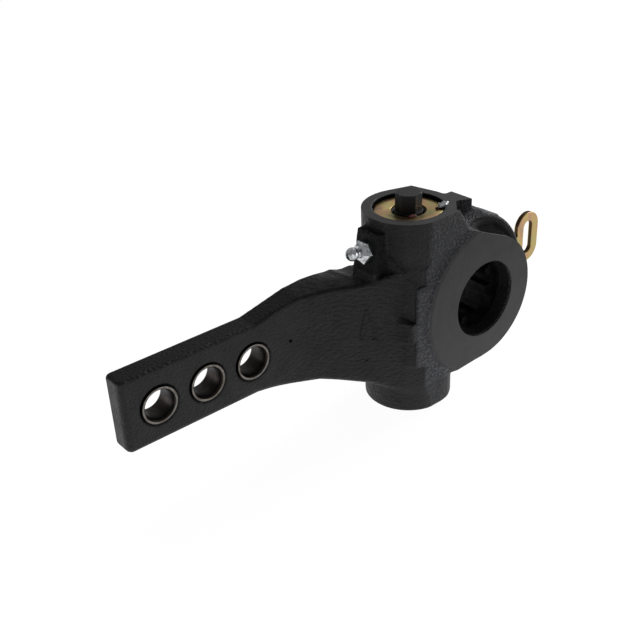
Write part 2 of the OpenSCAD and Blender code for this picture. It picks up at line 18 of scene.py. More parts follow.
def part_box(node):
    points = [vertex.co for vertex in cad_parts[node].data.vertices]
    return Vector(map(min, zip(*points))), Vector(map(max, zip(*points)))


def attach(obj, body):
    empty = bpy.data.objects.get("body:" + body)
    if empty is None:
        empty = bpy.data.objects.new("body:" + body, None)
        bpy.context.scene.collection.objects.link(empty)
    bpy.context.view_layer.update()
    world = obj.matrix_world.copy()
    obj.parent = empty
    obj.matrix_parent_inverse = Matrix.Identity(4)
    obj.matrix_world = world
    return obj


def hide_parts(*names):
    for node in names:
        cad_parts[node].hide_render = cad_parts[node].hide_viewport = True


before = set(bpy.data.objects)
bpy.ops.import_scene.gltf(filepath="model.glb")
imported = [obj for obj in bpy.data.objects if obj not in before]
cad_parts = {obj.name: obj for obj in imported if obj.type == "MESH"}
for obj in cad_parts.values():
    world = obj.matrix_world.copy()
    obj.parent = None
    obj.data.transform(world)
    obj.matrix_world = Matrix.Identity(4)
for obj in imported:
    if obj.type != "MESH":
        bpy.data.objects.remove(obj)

LOG = logging.getLogger("adjuster")
MM = 0.001
HOUSING = "housing_body"
STEPS_PER_METRE = 1e7
TINY = 1e-12
WORM_X, WORM_Y = -31.5, 23.0
FLARE_X, ARM_FRONT = -93.0, 33.5
WALL_ANGLE = math.radians(-30.8)
CLEVIS_X = (-120.0, -145.0, -170.0)
BUSH_ENDS = (33.1, 45.9)
Array = np.ndarray
Field = Callable[[Array, Array, Array], Array]
Point2 = tuple[float, float]
Point3 = tuple[float, float, float]
Line = tuple[Point2, ...]


class Slot(Enum):
    """Material slots of the record."""

    BLACK_PAINT = "black_paint"
    COVER_PAINT = "cover_paint"
    BUSH_STEEL = "bush_steel"
    BRIGHT_ZINC = "bright_zinc"
    YELLOW_ZINC = "yellow_zinc"
    SEAL_RUBBER = "seal_rubber"
    BEARING_STEEL = "bearing_steel"
    BRONZE = "bronze"
    SPRING_STEEL = "spring_steel"
    GASKET = "gasket"
    BLACK_OXIDE = "black_oxide"
    GEAR_STEEL = "gear_steel"


# Signed distances


def round_meet(a: Array, b: Array, r: float) -> Array:
    """Meets two solids: the larger distance, with a quarter circle of radius r where both are near."""
    return np.minimum(np.maximum(a, b), -r) + np.hypot(np.maximum(a + r, 0), np.maximum(b + r, 0))


def fillet_join(a: Array, b: Array, r: Union[float, Array]) -> Array:
    """Joins two solids: the smaller distance, with a hollow quarter circle of radius r between them."""
    return np.maximum(np.minimum(a, b), r) - np.hypot(np.maximum(r - a, 0), np.maximum(r - b, 0))


def slab(v: Array, low: float, high: float) -> Array:
    """Distance to the space between the planes v = low and v = high, negative between them."""
    return np.maximum(low - v, v - high)


def eased(v: Array, low: float, high: float) -> Array:
    """Smooth step from 0 at low to 1 at high."""
    t = np.clip((v - low) / (high - low), 0, 1)
    return t * t * (3 - 2 * t)


def along(v: Array, line: Line) -> Array:
    """Height of a broken line at v, level beyond its ends."""
    return np.interp(v, *zip(*line))


def outline(u: Array, v: Array, points: Sequence[Point2], corner: float = 0.0) -> Array:
    """Signed distance to a closed outline in a plane.

    Each edge gives the distance to its nearest point; the smallest is kept, and its sign comes from how many
    edges a ray along +u crosses. With a corner radius, the outline is first moved in by it and then grown.

    Args:
        u: First coordinate.
        v: Second coordinate.
        points: Corners in order, anticlockwise.
        corner: Radius of the corners.

    Returns:
        The distance, negative inside.
    """
    p = np.asarray(points, float)
    if corner:
        p = inset(p, corner)
    shape = np.broadcast(u, v).shape
    nearest = np.full(shape, np.inf)
    inside = np.zeros(shape, bool)
    for a, b in zip(p, np.roll(p, -1, axis=0)):
        e = b - a
        share = np.clip(((u - a[0]) * e[0] + (v - a[1]) * e[1]) / (e @ e), 0, 1)
        nearest = np.minimum(nearest, np.hypot(u - a[0] - share * e[0], v - a[1] - share * e[1]))
        if e[1]:
            inside ^= ((a[1] <= v) != (b[1] <= v)) & (u < a[0] + (v - a[1]) * e[0] / e[1])
    return np.where(inside, -nearest, nearest) - corner


def inset(points: Array, distance: float) -> Array:
    """Moves every edge of an outline inwards.

    Args:
        points: Corners in order, anticlockwise.
        distance: How far the edges move.

    Returns:
        The corners of the moved edges.
    """
    back = points - np.roll(points, 1, axis=0)
    ahead = np.roll(points, -1, axis=0) - points
    back /= np.linalg.norm(back, axis=1)[:, None]
    ahead /= np.linalg.norm(ahead, axis=1)[:, None]
    n0 = np.stack([-back[:, 1], back[:, 0]], axis=1)
    n1 = np.stack([-ahead[:, 1], ahead[:, 0]], axis=1)
    return points + distance * (n0 + n1) / (1 + (n0 * n1).sum(axis=1))[:, None]


# Meshes


@dataclass(frozen=True)
class DualContour:
    """Meshes a signed distance so that sharp edges stay sharp.

    Attributes:
        field: Signed distance as a function of x, y and z.
        low: Lowest corner of the grid.
        high: Highest corner of the grid.
        pitch: Size of a cell.
        halvings: How often an edge is halved to find where it crosses the surface.
        reach: Half the distance over which the field's slope is taken.
        pull: Pull of a vertex to the middle of its cell's crossings.
    """

    field: Field
    low: Point3
    high: Point3
    pitch: float
    halvings: int = 8
    reach: float = 0.01
    pull: float = 0.03

    def mesh(self) -> tuple[Array, Array]:
        """Places one vertex in every cell that the surface crosses.

        The vertex is the point nearest to all the tangent planes where the surface crosses the cell's edges,
        pulled a little to their middle. Every crossed edge gives a quad between its four cells.

        Returns:
            Vertices and quads.
        """
        low = np.asarray(self.low, float)
        count = np.ceil((np.asarray(self.high) - low) / self.pitch).astype(int) + 1
        axes = [low[i] + self.pitch * np.arange(count[i]) for i in range(3)]
        value = np.broadcast_to(self.field(*np.ix_(*axes)), count)
        cells = count - 1
        edges = [self._crossings(value, axis, low) for axis in range(3)]
        points = np.concatenate([e[0] for e in edges])
        normals = self._normals(points)
        owners = np.concatenate([e[1] for e in edges]) @ np.array([cells[1] * cells[2], cells[2], 1])
        keys, index = np.unique(owners, return_inverse=True)
        quads = index.reshape(owners.shape)
        vertices = self._solve(points, normals, quads, len(keys))
        corner = low + self.pitch * np.stack(np.unravel_index(keys, cells), axis=1)
        return np.clip(vertices, corner, corner + self.pitch), quads

    def _crossings(self, value: Array, axis: int, low: Array) -> tuple[Array, Array]:
        """Finds where grid edges along one axis cross the surface.

        Args:
            value: The field on the grid.
            axis: Axis of the edges.
            low: Lowest corner of the grid.

        Returns:
            The points, and the four cells round each edge in the order of an outward quad.
        """
        start = np.take(value, range(value.shape[axis] - 1), axis)
        end = np.take(value, range(1, value.shape[axis]), axis)
        at = np.argwhere((start < 0) != (end < 0))
        outward = start[tuple(at.T)] < 0
        step = np.eye(3)[axis]
        near, far = np.zeros(len(at)), np.ones(len(at))
        for _ in range(self.halvings):
            middle = (near + far) / 2
            inside = self.field(*(low + self.pitch * (at + middle[:, None] * step)).T) < 0
            near = np.where(inside == outward, middle, near)
            far = np.where(inside == outward, far, middle)
        points = low + self.pitch * (at + ((near + far) / 2)[:, None] * step)
        e1, e2 = np.eye(3, dtype=int)[(axis + 1) % 3], np.eye(3, dtype=int)[(axis + 2) % 3]
        ring = np.stack([at - e1 - e2, at - e2, at, at - e1], axis=1)
        ring[~outward] = ring[~outward][:, ::-1]
        return points, ring

    def _normals(self, points: Array) -> Array:
        """Unit gradient of the field, from central differences.

        Args:
            points: Places on the surface.

        Returns:
            The normals.
        """
        gradient = np.stack([
            self.field(*(points + self.reach * step).T) - self.field(*(points - self.reach * step).T)
            for step in np.eye(3)], axis=1)
        return gradient / np.maximum(np.linalg.norm(gradient, axis=1), TINY)[:, None]

    def _solve(self, points: Array, normals: Array, quads: Array, count: int) -> Array:
        """Least-squares point of the tangent planes in every cell.

        Args:
            points: Crossing points, one for each quad.
            normals: Their normals.
            quads: Cells that each crossing belongs to.
            count: Number of cells.

        Returns:
            One vertex for each cell.
        """
        cell = quads.ravel()
        p, n = np.repeat(points, 4, axis=0), np.repeat(normals, 4, axis=0)
        total = np.bincount(cell, minlength=count)
        middle = np.stack([np.bincount(cell, p[:, i], count) for i in range(3)], axis=1) / total[:, None]
        offset = ((p - middle[cell]) * n).sum(axis=1)
        rhs = np.stack([np.bincount(cell, n[:, i] * offset, count) for i in range(3)], axis=1)
        pairs = [np.bincount(cell, n[:, i] * n[:, j], count) for i in range(3) for j in range(3)]
        normal_sum = np.stack(pairs, axis=1).reshape(count, 3, 3)
        pull = self.pull * total[:, None, None] * np.eye(3)
        return middle + np.linalg.solve(normal_sum + pull, rhs[:, :, None])[:, :, 0]


def sheet(points: Array, wrap_rows: bool = False, wrap_columns: bool = False) -> tuple[Array, Array]:
    """Joins a grid of points into quads.

    Args:
        points: Array of rows, columns and coordinates.
        wrap_rows: Whether the last row joins the first.
        wrap_columns: Whether the last column joins the first.

    Returns:
        Vertices and quads.
    """
    rows, columns = points.shape[:2]
    ends = rows - (not wrap_rows), columns - (not wrap_columns)
    i, j = np.meshgrid(*map(np.arange, ends), indexing="ij")
    i1, j1 = (i + 1) % rows, (j + 1) % columns
    quads = np.stack([i * columns + j, i * columns + j1, i1 * columns + j1, i1 * columns + j], axis=-1)
    return points.reshape(-1, 3), quads.reshape(-1, 4)


def turned(profile: Sequence[Point2], steps: int, hex_size: Optional[Array] = None) -> Array:
    """Points of a piece turned round Z: a profile of radius and height, carried round a full circle.

    Args:
        profile: Radius and height of each row.
        steps: Points round the circle.
        hex_size: For each row, the size across flats of a hexagon that trims it, or 0.

    Returns:
        Array of rows, columns and coordinates.
    """
    rows = np.asarray(profile, float)
    angle = np.linspace(0, 2 * math.pi, steps, endpoint=False)
    radius = np.repeat(rows[:, :1], steps, axis=1)
    if hex_size is not None:
        sector = math.pi / 3
        flat = hex_size[:, None] / 2 / np.cos((angle + sector / 2) % sector - sector / 2)
        radius = np.where(hex_size[:, None] > 0, np.minimum(radius, flat), radius)
    height = np.repeat(rows[:, 1:], steps, axis=1)
    return np.stack([radius * np.cos(angle), radius * np.sin(angle), height], axis=-1)


def placed(points: Array, matrix: Matrix) -> Array:
    """Moves points, whose last axis holds coordinates, by a matrix in millimetres."""
    m = np.array(matrix)
    return points @ m[:3, :3].T + m[:3, 3]


def axis_matrix(origin: Point3, direction: Point3, up: Point3 = (0.0, 1.0, 0.0)) -> Matrix:
    """Frame whose Z runs along a direction.

    Args:
        origin: Its origin.
        direction: Its Z axis.
        up: Direction that its Y axis comes near to.

    Returns:
        The matrix.
    """
    z = Vector(direction).normalized()
    x = Vector(up).cross(z).normalized()
    y = z.cross(x)
    return Matrix.Translation(origin) @ Matrix((x, y, z)).transposed().to_4x4()


def build_object(name: str, parts: Sequence[tuple[Array, Array]], sharp: float = 30.0) -> bpy.types.Object:
    """Makes a mesh object of vertices in millimetres, merges doubles and turns its faces outwards.

    Args:
        name: Name of the piece.
        parts: Vertices and quads of each shell.
        sharp: Angle in degrees over which an edge is shaded sharp.

    Returns:
        The object, linked to the scene.
    """
    shift = np.cumsum([0] + [len(v) for v, _ in parts])
    vertices = np.concatenate([v for v, _ in parts]) * MM
    quads = np.concatenate([q + s for (_, q), s in zip(parts, shift)])
    keys, index = np.unique(np.round(vertices * STEPS_PER_METRE).astype(np.int64), axis=0, return_inverse=True)
    quads = index.reshape(-1)[quads]
    mesh = bpy.data.meshes.new(name)
    mesh.from_pydata((keys / STEPS_PER_METRE).tolist(), [], [list(dict.fromkeys(q)) for q in quads.tolist()])
    mesh.validate()
    mesh.polygons.foreach_set("use_smooth", np.ones(len(mesh.polygons), bool))
    mesh.set_sharp_from_angle(angle=math.radians(sharp))
    obj = bpy.data.objects.new(name, mesh)
    bpy.context.scene.collection.objects.link(obj)
    return obj


# Shader graphs


class Value:
    """A shader socket that adds Math nodes when it is used in arithmetic."""

    def __init__(self, graph: "Graph", socket: bpy.types.NodeSocket) -> None:
        """Wraps an output socket of a graph."""
        self.graph = graph
        self.socket = socket

    def math(self, operation: str, *values: "Number") -> "Value":
        """Adds a Math node with this socket first and returns its result."""
        return self.graph.math(operation, self, *values)

    def __add__(self, other: "Number") -> "Value":
        """Adds a number or socket."""
        return self.math("ADD", other)

    def __radd__(self, other: "Number") -> "Value":
        """Is added to a number."""
        return self.graph.math("ADD", other, self)

    def __sub__(self, other: "Number") -> "Value":
        """Takes away a number or socket."""
        return self.math("SUBTRACT", other)

    def __rsub__(self, other: "Number") -> "Value":
        """Is taken away from a number."""
        return self.graph.math("SUBTRACT", other, self)

    def __mul__(self, other: "Number") -> "Value":
        """Multiplies by a number or socket."""
        return self.math("MULTIPLY", other)

    def __rmul__(self, other: "Number") -> "Value":
        """Multiplies a number."""
        return self.graph.math("MULTIPLY", other, self)

    def __truediv__(self, other: "Number") -> "Value":
        """Divides by a number or socket."""
        return self.math("DIVIDE", other)

    def __rtruediv__(self, other: "Number") -> "Value":
        """Divides a number."""
        return self.graph.math("DIVIDE", other, self)

    def most(self, *others: "Number") -> "Value":
        """Largest of this socket and others, by one Maximum node for each other.

        Args:
            others: Numbers or sockets.

        Returns:
            The largest.
        """
        result = self
        for other in others:
            result = result.math("MAXIMUM", other)
        return result

    def step(self, low: float, high: float) -> "Value":
        """Smooth step from 0 at low to 1 at high."""
        return self.graph.add("ShaderNodeMapRange", {"interpolation_type": "SMOOTHSTEP", "clamp": True},
                              {"Value": self, "From Min": low, "From Max": high})

    def drop(self, low: float, high: float) -> "Value":
        """Smooth step from 1 at low to 0 at high."""
        return 1.0 - self.step(low, high)


Number = Union[float, Value]
NOISE_ROUGHNESS = 0.55


class Graph:
    """Nodes of one material or of the world."""

    def __init__(self, owner: Union[bpy.types.Material, bpy.types.World]) -> None:
        """Empties a node tree.

        Args:
            owner: The material or world.
        """
        owner.use_nodes = True
        self.tree = owner.node_tree
        self.tree.nodes.clear()
        self.object = self.add("ShaderNodeTexCoord", output="Object")

    def add(self, kind: str, settings: Optional[dict[str, Any]] = None, inputs: Optional[dict] = None,
            output: Union[int, str] = 0) -> Value:
        """Adds a node.

        Args:
            kind: Node type.
            settings: Attributes that are set first; "stops" holds a ramp's places and colours.
            inputs: Values or links, by socket name or number.
            output: Which output to return.

        Returns:
            The output.
        """
        node = self.tree.nodes.new(kind)
        for key, value in (settings or {}).items():
            if key == "stops":
                elements = node.color_ramp.elements
                while len(elements) < len(value):
                    elements.new(1.0)
                for element, (place, colour) in zip(elements, value):
                    element.position, element.color = place, colour
            else:
                setattr(node, key, value)
        for key, value in (inputs or {}).items():
            if isinstance(value, Value):
                self.tree.links.new(value.socket, node.inputs[key])
            else:
                node.inputs[key].default_value = value
        return Value(self, node.outputs[output])

    def math(self, operation: str, *values: Number) -> Value:
        """Adds a Math node and returns its result."""
        return self.add("ShaderNodeMath", {"operation": operation}, dict(enumerate(values)))

    def coordinates(self) -> tuple[Value, Value, Value]:
        """Object coordinates X, Y and Z in millimetres."""
        return tuple(self.add("ShaderNodeSeparateXYZ", inputs={0: self.object}, output=i) / MM for i in range(3))

    def noise(self, size: float, detail: float = 2.0, stretch: Point3 = (1.0, 1.0, 1.0)) -> Value:
        """Noise round 0.5: grains of a size in millimetres, drawn out along each axis."""
        place = self.add("ShaderNodeMapping", inputs={0: self.object, "Scale": [1 / s for s in stretch]})
        return self.add("ShaderNodeTexNoise", inputs={
            "Vector": place, "Scale": 1 / (size * MM), "Detail": detail, "Roughness": NOISE_ROUGHNESS})

    def uneven(self, mean: float, size: float, spread: float = 0.08, detail: float = 3.0) -> Value:
        """A mean that a noise of some grain size moves up and down by a spread."""
        return (mean - spread) + 2 * spread * self.noise(size, detail)

    def mix(self, factor: Number, a: Union[Value, tuple], b: Union[Value, tuple]) -> Value:
        """Mixes two colours: a factor of 0 gives the first, 1 the second."""
        return self.add("ShaderNodeMix", {"data_type": "RGBA"}, {0: factor, 6: a, 7: b}, output=2)

    def scale(self, colour: Union[Value, tuple], factor: Number) -> Value:
        """Multiplies a colour by a number."""
        return self.add("ShaderNodeVectorMath", {"operation": "SCALE"}, {0: colour, "Scale": factor})

    def bump(self, height: Value, depth: float) -> Value:
        """Bump normal of a height whose 1 is depth millimetres."""
        return self.add("ShaderNodeBump", inputs={"Height": height, "Distance": depth * MM})

    def finish(self, **sockets: Any) -> None:
        """Adds a Principled shader, with underscores for the spaces of its sockets' names, and the output."""
        inputs = {key.replace("_", " "): value for key, value in sockets.items()}
        self.add_output(self.add("ShaderNodeBsdfPrincipled", inputs=inputs))

    def add_output(self, shader: Value, kind: str = "ShaderNodeOutputMaterial") -> None:
        """Links a shader to the output of the material or world."""
        node = self.tree.nodes.new(kind)
        self.tree.links.new(shader.socket, node.inputs["Surface"])


def grey(level: float, tint: Point3 = (1.0, 1.0, 1.0)) -> tuple[float, float, float, float]:
    """Opaque colour of a linear brightness and a tint."""
    return (level * tint[0], level * tint[1], level * tint[2], 1.0)


@dataclass(frozen=True)
class Finish:
    """A surface finish.

    Attributes:
        name: Name of the material.
        slot: Slot of the record that it belongs to.
    """

    name: str
    slot: Slot

    def material(self) -> bpy.types.Material:
        """Makes the material once.

        Returns:
            The material.
        """
        name = f"{self.name}_finish"
        found = bpy.data.materials.get(name)
        if found is None:
            found = bpy.data.materials.new(name)
            self.shade(Graph(found))
        return found

    def shade(self, g: Graph) -> None:
        """Builds the nodes in a material's graph."""
        raise NotImplementedError


@dataclass(frozen=True)
class CastPaint(Finish):
    """Satin black paint over a sand casting, smooth on the machined near face and tube rim, with painted shading.

    A pair of lengths is where a smooth step along one coordinate starts and ends.

    Attributes:
        worm_axis: X and Y of the worm's axis.
        near_y, near_radius: The near face, round its bore.
        rim_z: The tube's rim.
        front_x, front_y: The front flat, and where the flare's grain ends.
        flare_x: Where the flare's grain starts.
        hub_x, hub_y, hub_radius: The sandy hub.
        hollow_x, hollow_y, hollow_in, hollow_out: The hollow behind the near face, darkened by painted shade.
        mouth_radius, mouth_z: The wall round the plug, darkened by painted shade.
        ear_left, ear_right, ear_low, ear_high, ear_y: The front of the ear, darkened by painted shade.
        arm_rise, flare_rise: Spans of X over which the top rises, with the rises.
        top_x, top_z: The top of arm and flare, dimmed by painted shade; its height less those rises.
        boss_x, boss_z: The boss of the nipple, dimmed by painted shade.
        paint, face, rim, painted_shade: Brightness of the paint, the near face, the rim and the painted shade.
        tint: Tint of the paint.
        peel, drawn, sand: Size and height of the grain: all over, drawn out on the flare, and where it is sandy.
        stretch: How the flare's grain is drawn out.
        speck: Noise over which the sand turns pale.
        grit, grit_more: Gain in tone of sand and its specks, and how much more on the hub and the front.
        mottle: Size and spread of the clouds in the tone.
        fade: Painted shading by height: tone level with the axis, its loss with height, and more on the near face.
        wear, wear_size: Noise over which the paint turns dull, and its size.
        dull: Roughness, and what wear and the raw skin add.
        gloss: Specular level.
        painted_shade_shares: Shares of painted shade in the hollows and on the ear, the boss and the top.
    """

    worm_axis: Point2 = (WORM_X, WORM_Y)
    near_y: Point2 = (0.15, 0.5)
    near_radius: Point2 = (20.01, 20.08)
    rim_z: Point2 = (52.8, 52.9)
    front_x: Point2 = (-50.0, -46.0)
    front_y: Point2 = (1.55, 2.35)
    flare_x: Point2 = (-100.0, -88.0)
    hub_x: Point2 = (-20.0, -17.0)
    hub_y: Point2 = (2.0, 3.0)
    hub_radius: Point2 = (38.5, 40.0)
    hollow_x: Point2 = (-17.0, 1.0)
    hollow_y: Point2 = (0.6, 2.5)
    hollow_in: Point2 = (29.0, 31.0)
    hollow_out: Point2 = (36.0, 41.6)
    mouth_radius: Point2 = (17.15, 17.5)
    mouth_z: Point2 = (40.0, 41.0)
    ear_left: Point2 = (-12.5, -11.5)
    ear_right: Point2 = (-4.3, -3.9)
    ear_low: Point2 = (46.0, 47.0)
    ear_high: Point2 = (52.4, 52.8)
    ear_y: Point2 = (12.0, 13.0)
    arm_rise: Point3 = (-118.0, -93.0, 5.7)
    flare_rise: Point3 = (-93.0, -70.0, 1.5)
    top_x: Point2 = (-66.0, -60.0)
    top_z: Point2 = (17.0, 17.8)
    boss_x: Point2 = (-54.3, -53.3)
    boss_z: Point2 = (28.5, 30.0)
    paint: float = 0.008
    face: float = 0.027
    rim: float = 0.065
    painted_shade: float = 0.004
    tint: Point3 = (0.96, 0.98, 1.1)
    peel: Point2 = (1.4, 0.8)
    drawn: Point2 = (1.5, 1.5)
    stretch: Point3 = (1.7, 1.7, 1.0)
    sand: Point2 = (1.3, 2.4)
    speck: Point2 = (0.45, 0.7)
    grit: Point2 = (1.8, 4.4)
    grit_more: Point2 = (1.6, 0.8)
    mottle: Point2 = (5.0, 0.25)
    fade: Point3 = (1.3, 0.014, 0.006)
    wear: Point2 = (0.35, 0.7)
    wear_size: float = 9.0
    dull: Point3 = (0.4, 0.1, 0.06)
    gloss: float = 0.3
    painted_shade_shares: tuple[float, float, float, float] = (0.95, 0.42, 0.5, 0.32)

    def shade(self, g: Graph) -> None:
        """Builds the nodes: grain all over but the machined faces, coarser on front flat and hub, and painted
        shade.

        Args:
            g: Graph of the material.
        """
        x, y, z = g.coordinates()
        radius = g.math("SQRT", x * x + z * z)
        near = y.drop(*self.near_y) * radius.step(*self.near_radius)
        rim = z.step(*self.rim_z)
        rough_cast = 1.0 - near.most(rim)
        front = y.drop(*self.front_y) * x.step(*self.front_x)
        hub = x.step(*self.hub_x) * radius.step(*self.hub_radius) * y.step(*self.hub_y)
        sandy = front.most(hub)
        flare = x.drop(*self.front_x) * x.step(*self.flare_x)
        peel = g.noise(self.peel[0], 3.0) * self.peel[1]
        drawn = g.noise(self.drawn[0], 3.0, self.stretch) * self.drawn[1]
        sand = g.noise(self.sand[0], 3.0)
        height = peel + flare * (drawn - peel) + sandy * (sand * self.sand[1] - peel)
        normal = g.bump(height * rough_cast, 1.0)
        grit = self.grit[0] + self.grit[1] * sand.step(*self.speck)
        grit = grit * (1.0 + self.grit_more[0] * hub + self.grit_more[1] * front)
        # Painted shading by height: brighter low down and darker towards the top, more so on the near face.
        level, loss, near_loss = self.fade
        height_shaded_tone = level - loss * z - near_loss * near * z
        mottle = g.uneven(1.0, self.mottle[0], self.mottle[1], 4.0)
        colour = g.mix(near, g.mix(rim, grey(self.paint, self.tint), grey(self.rim)), grey(self.face))
        worn = g.noise(self.wear_size, 3.0).step(*self.wear)
        dull = self.dull[0] + self.dull[1] * worn + self.dull[2] * rough_cast
        paint = g.add("ShaderNodeBsdfPrincipled", inputs={
            "Base Color": g.scale(colour, mottle * (1.0 + sandy * rough_cast * grit) * height_shaded_tone),
            "Roughness": dull, "Specular IOR Level": self.gloss, "Normal": normal})
        # Painted shade: a near-black diffuse sheet mixed in over the hollows, the plug's mouth, the ear, the boss
        # and the top.
        painted_shade = g.add("ShaderNodeBsdfDiffuse", inputs={"Color": grey(self.painted_shade), "Normal": normal})
        shaded = self.shaded(g, (x, y, z), radius)
        g.add_output(g.add("ShaderNodeMixShader", inputs={0: shaded, 1: paint, 2: painted_shade}))

    def shaded(self, g: Graph, place: tuple[Value, Value, Value], radius: Value) -> Value:
        """Share of painted shade: most in the hollow and round the plug, some on the ear, the boss and the top.

        Args:
            g: Graph of the material.
            place: Coordinates.
            radius: Distance from the camshaft's axis.

        Returns:
            The share.
        """
        x, y, z = place
        u, v = x - self.worm_axis[0], y - self.worm_axis[1]
        mouth = g.math("SQRT", u * u + v * v).drop(*self.mouth_radius) * z.step(*self.mouth_z)
        hollow = x.step(*self.hollow_x) * y.step(*self.hollow_y)
        hollow = hollow * radius.step(*self.hollow_in) * radius.drop(*self.hollow_out)
        ear = x.step(*self.ear_left) * x.drop(*self.ear_right)
        ear = ear * z.step(*self.ear_low) * z.drop(*self.ear_high) * y.drop(*self.ear_y)
        ridge = z
        for start, end, rise in (self.arm_rise, self.flare_rise):
            ridge = ridge - rise * x.step(start, end)
        top = x.drop(*self.top_x) * ridge.step(*self.top_z)
        boss = x.drop(*self.boss_x) * z.step(*self.boss_z)
        deep, *others = (share * mask for share, mask in zip(self.painted_shade_shares, (hollow.most(mouth), ear, boss, top)))
        return deep.most(*others)


@dataclass(frozen=True)
class Metal(Finish):
    """Bare or plated metal with fine scratches and cloudy tarnish.

    Attributes:
        colour: Base colour.
        tarnish: Colour of the tarnish.
        rough: Mean roughness.
        cloud, patch: Size of the tarnish clouds in millimetres, and noise over which they set in.
        grain, scratch: Size and depth of the fine texture in millimetres.
    """

    colour: Point3 = (0.5, 0.5, 0.5)
    tarnish: Point3 = (0.3, 0.28, 0.25)
    rough: float = 0.35
    cloud: float = 4.0
    patch: Point2 = (0.38, 0.68)
    grain: float = 0.35
    scratch: float = 0.02

    def shade(self, g: Graph) -> None:
        """Builds the nodes.

        Args:
            g: Graph of the material.
        """
        cloud = g.noise(self.cloud, 4.0).step(*self.patch)
        g.finish(Base_Color=g.mix(cloud, (*self.colour, 1.0), (*self.tarnish, 1.0)), Metallic=1.0,
                 Roughness=g.uneven(self.rough, 1.7), Normal=g.bump(g.noise(self.grain), self.scratch))


@dataclass(frozen=True)
class YellowZinc(Finish):
    """Yellow chromate over zinc: straw, pink and green clouds.

    Attributes:
        sheared: Lowest and highest Y of the edges that a stamping tool sheared, which are brown.
        blend: Width of the edges' borders.
        brown: Colour of the edges.
        film: Places and colours of the ramp over the film's thickness.
        rough: Mean roughness.
        grain, scratch: Size and depth of the fine texture in millimetres.
    """

    sheared: Optional[Point2] = None
    blend: float = 0.2
    brown: Point3 = (0.055, 0.035, 0.018)
    film: tuple[tuple[float, tuple], ...] = (
        (0.32, (0.36, 0.37, 0.17, 1.0)), (0.45, (0.50, 0.40, 0.15, 1.0)),
        (0.56, (0.55, 0.32, 0.17, 1.0)), (0.68, (0.33, 0.27, 0.17, 1.0)))
    rough: float = 0.33
    grain: float = 0.5
    scratch: float = 0.02

    def shade(self, g: Graph) -> None:
        """Builds the nodes.

        Args:
            g: Graph of the material.
        """
        thickness = g.noise(7.0, 2.0, (1.0, 1.0, 1.6)) * 0.75 + g.noise(1.6, 2.0) * 0.25
        hue = g.add("ShaderNodeValToRGB", {"stops": self.film}, {0: thickness})
        if self.sheared:
            (low, high), y = self.sheared, g.coordinates()[1]
            edge = y.step(low, low + self.blend) * y.drop(high - self.blend, high)
            hue = g.mix(edge, hue, (*self.brown, 1.0))
        g.finish(Base_Color=hue, Metallic=1.0, Roughness=g.uneven(self.rough, 2.5, 0.07),
                 Normal=g.bump(g.noise(self.grain), self.scratch))


@dataclass(frozen=True)
class BushSteel(Finish):
    """Dark hardened steel with a ground bright rim at each end.

    Attributes:
        ends: Y of both ends.
        rim: Depth from an end at which the ground rim starts to fade and is gone.
        bore, bore_tarnish: Colours of the bore, plain and tarnished.
        ground, ground_tarnish: Colours of the rim, plain and tarnished.
        cloud, patch: Size of the tarnish clouds in millimetres, and noise over which they set in.
        rough: Mean roughness.
        grain, scratch: Size and depth of the fine texture in millimetres.
    """

    ends: Point2 = BUSH_ENDS
    rim: Point2 = (0.108, 0.18)
    bore: Point3 = (0.020, 0.019, 0.019)
    bore_tarnish: Point3 = (0.036, 0.029, 0.025)
    ground: Point3 = (0.22, 0.205, 0.19)
    ground_tarnish: Point3 = (0.12, 0.105, 0.092)
    cloud: float = 2.5
    patch: Point2 = (0.35, 0.7)
    rough: float = 0.4
    grain: float = 0.35
    scratch: float = 0.02

    def shade(self, g: Graph) -> None:
        """Builds the nodes: the rim is where Y is near either end.

        Args:
            g: Graph of the material.
        """
        y = g.coordinates()[1]
        rim = (y - self.ends[0]).math("MINIMUM", self.ends[1] - y).drop(*self.rim)
        cloud = g.noise(self.cloud, 4.0).step(*self.patch)
        bore = g.mix(cloud, (*self.bore, 1.0), (*self.bore_tarnish, 1.0))
        ground = g.mix(cloud, (*self.ground, 1.0), (*self.ground_tarnish, 1.0))
        g.finish(Base_Color=g.mix(rim, bore, ground), Metallic=1.0, Roughness=g.uneven(self.rough, 1.7),
                 Normal=g.bump(g.noise(self.grain), self.scratch))


@dataclass(frozen=True)
class Dull(Finish):
    """Rubber, fibre or smooth paint.

    Attributes:
        colour: Base colour.
        rough: Mean roughness.
        grain: Size of its grain in millimetres.
        depth: Depth of its grain in millimetres.
    """

    colour: Point3 = (0.02, 0.02, 0.02)
    rough: float = 0.6
    grain: float = 0.6
    depth: float = 0.05

    def shade(self, g: Graph) -> None:
        """Builds the nodes in a material's graph."""
        g.finish(Base_Color=g.scale(self.colour, g.uneven(1.0, 3.0, 0.25)), Roughness=g.uneven(self.rough, 2.0),
                 Specular_IOR_Level=0.35, Normal=g.bump(g.noise(self.grain), self.depth))


CAST_PAINT = CastPaint("cast_paint", Slot.BLACK_PAINT)
COVER_PAINT = Dull("cover_paint", Slot.COVER_PAINT, (0.014, 0.014, 0.015), 0.45, 1.2, 0.08)
BUSH_STEEL = BushSteel("bush_steel", Slot.BUSH_STEEL)
BRIGHT_ZINC = Metal("bright_zinc", Slot.BRIGHT_ZINC, (0.70, 0.72, 0.74), (0.36, 0.38, 0.39), 0.2, 2.0)
YELLOW_ZINC = YellowZinc("yellow_zinc", Slot.YELLOW_ZINC)
STAMPED_ZINC = YellowZinc("stamped_zinc", Slot.YELLOW_ZINC, (50.3, 52.7))
SEAL_RUBBER = Dull("seal_rubber", Slot.SEAL_RUBBER, (0.012, 0.012, 0.012), 0.55, 0.8, 0.03)
BEARING_STEEL = Metal("bearing_steel", Slot.BEARING_STEEL, (0.62, 0.63, 0.64), (0.5, 0.5, 0.5), 0.18)
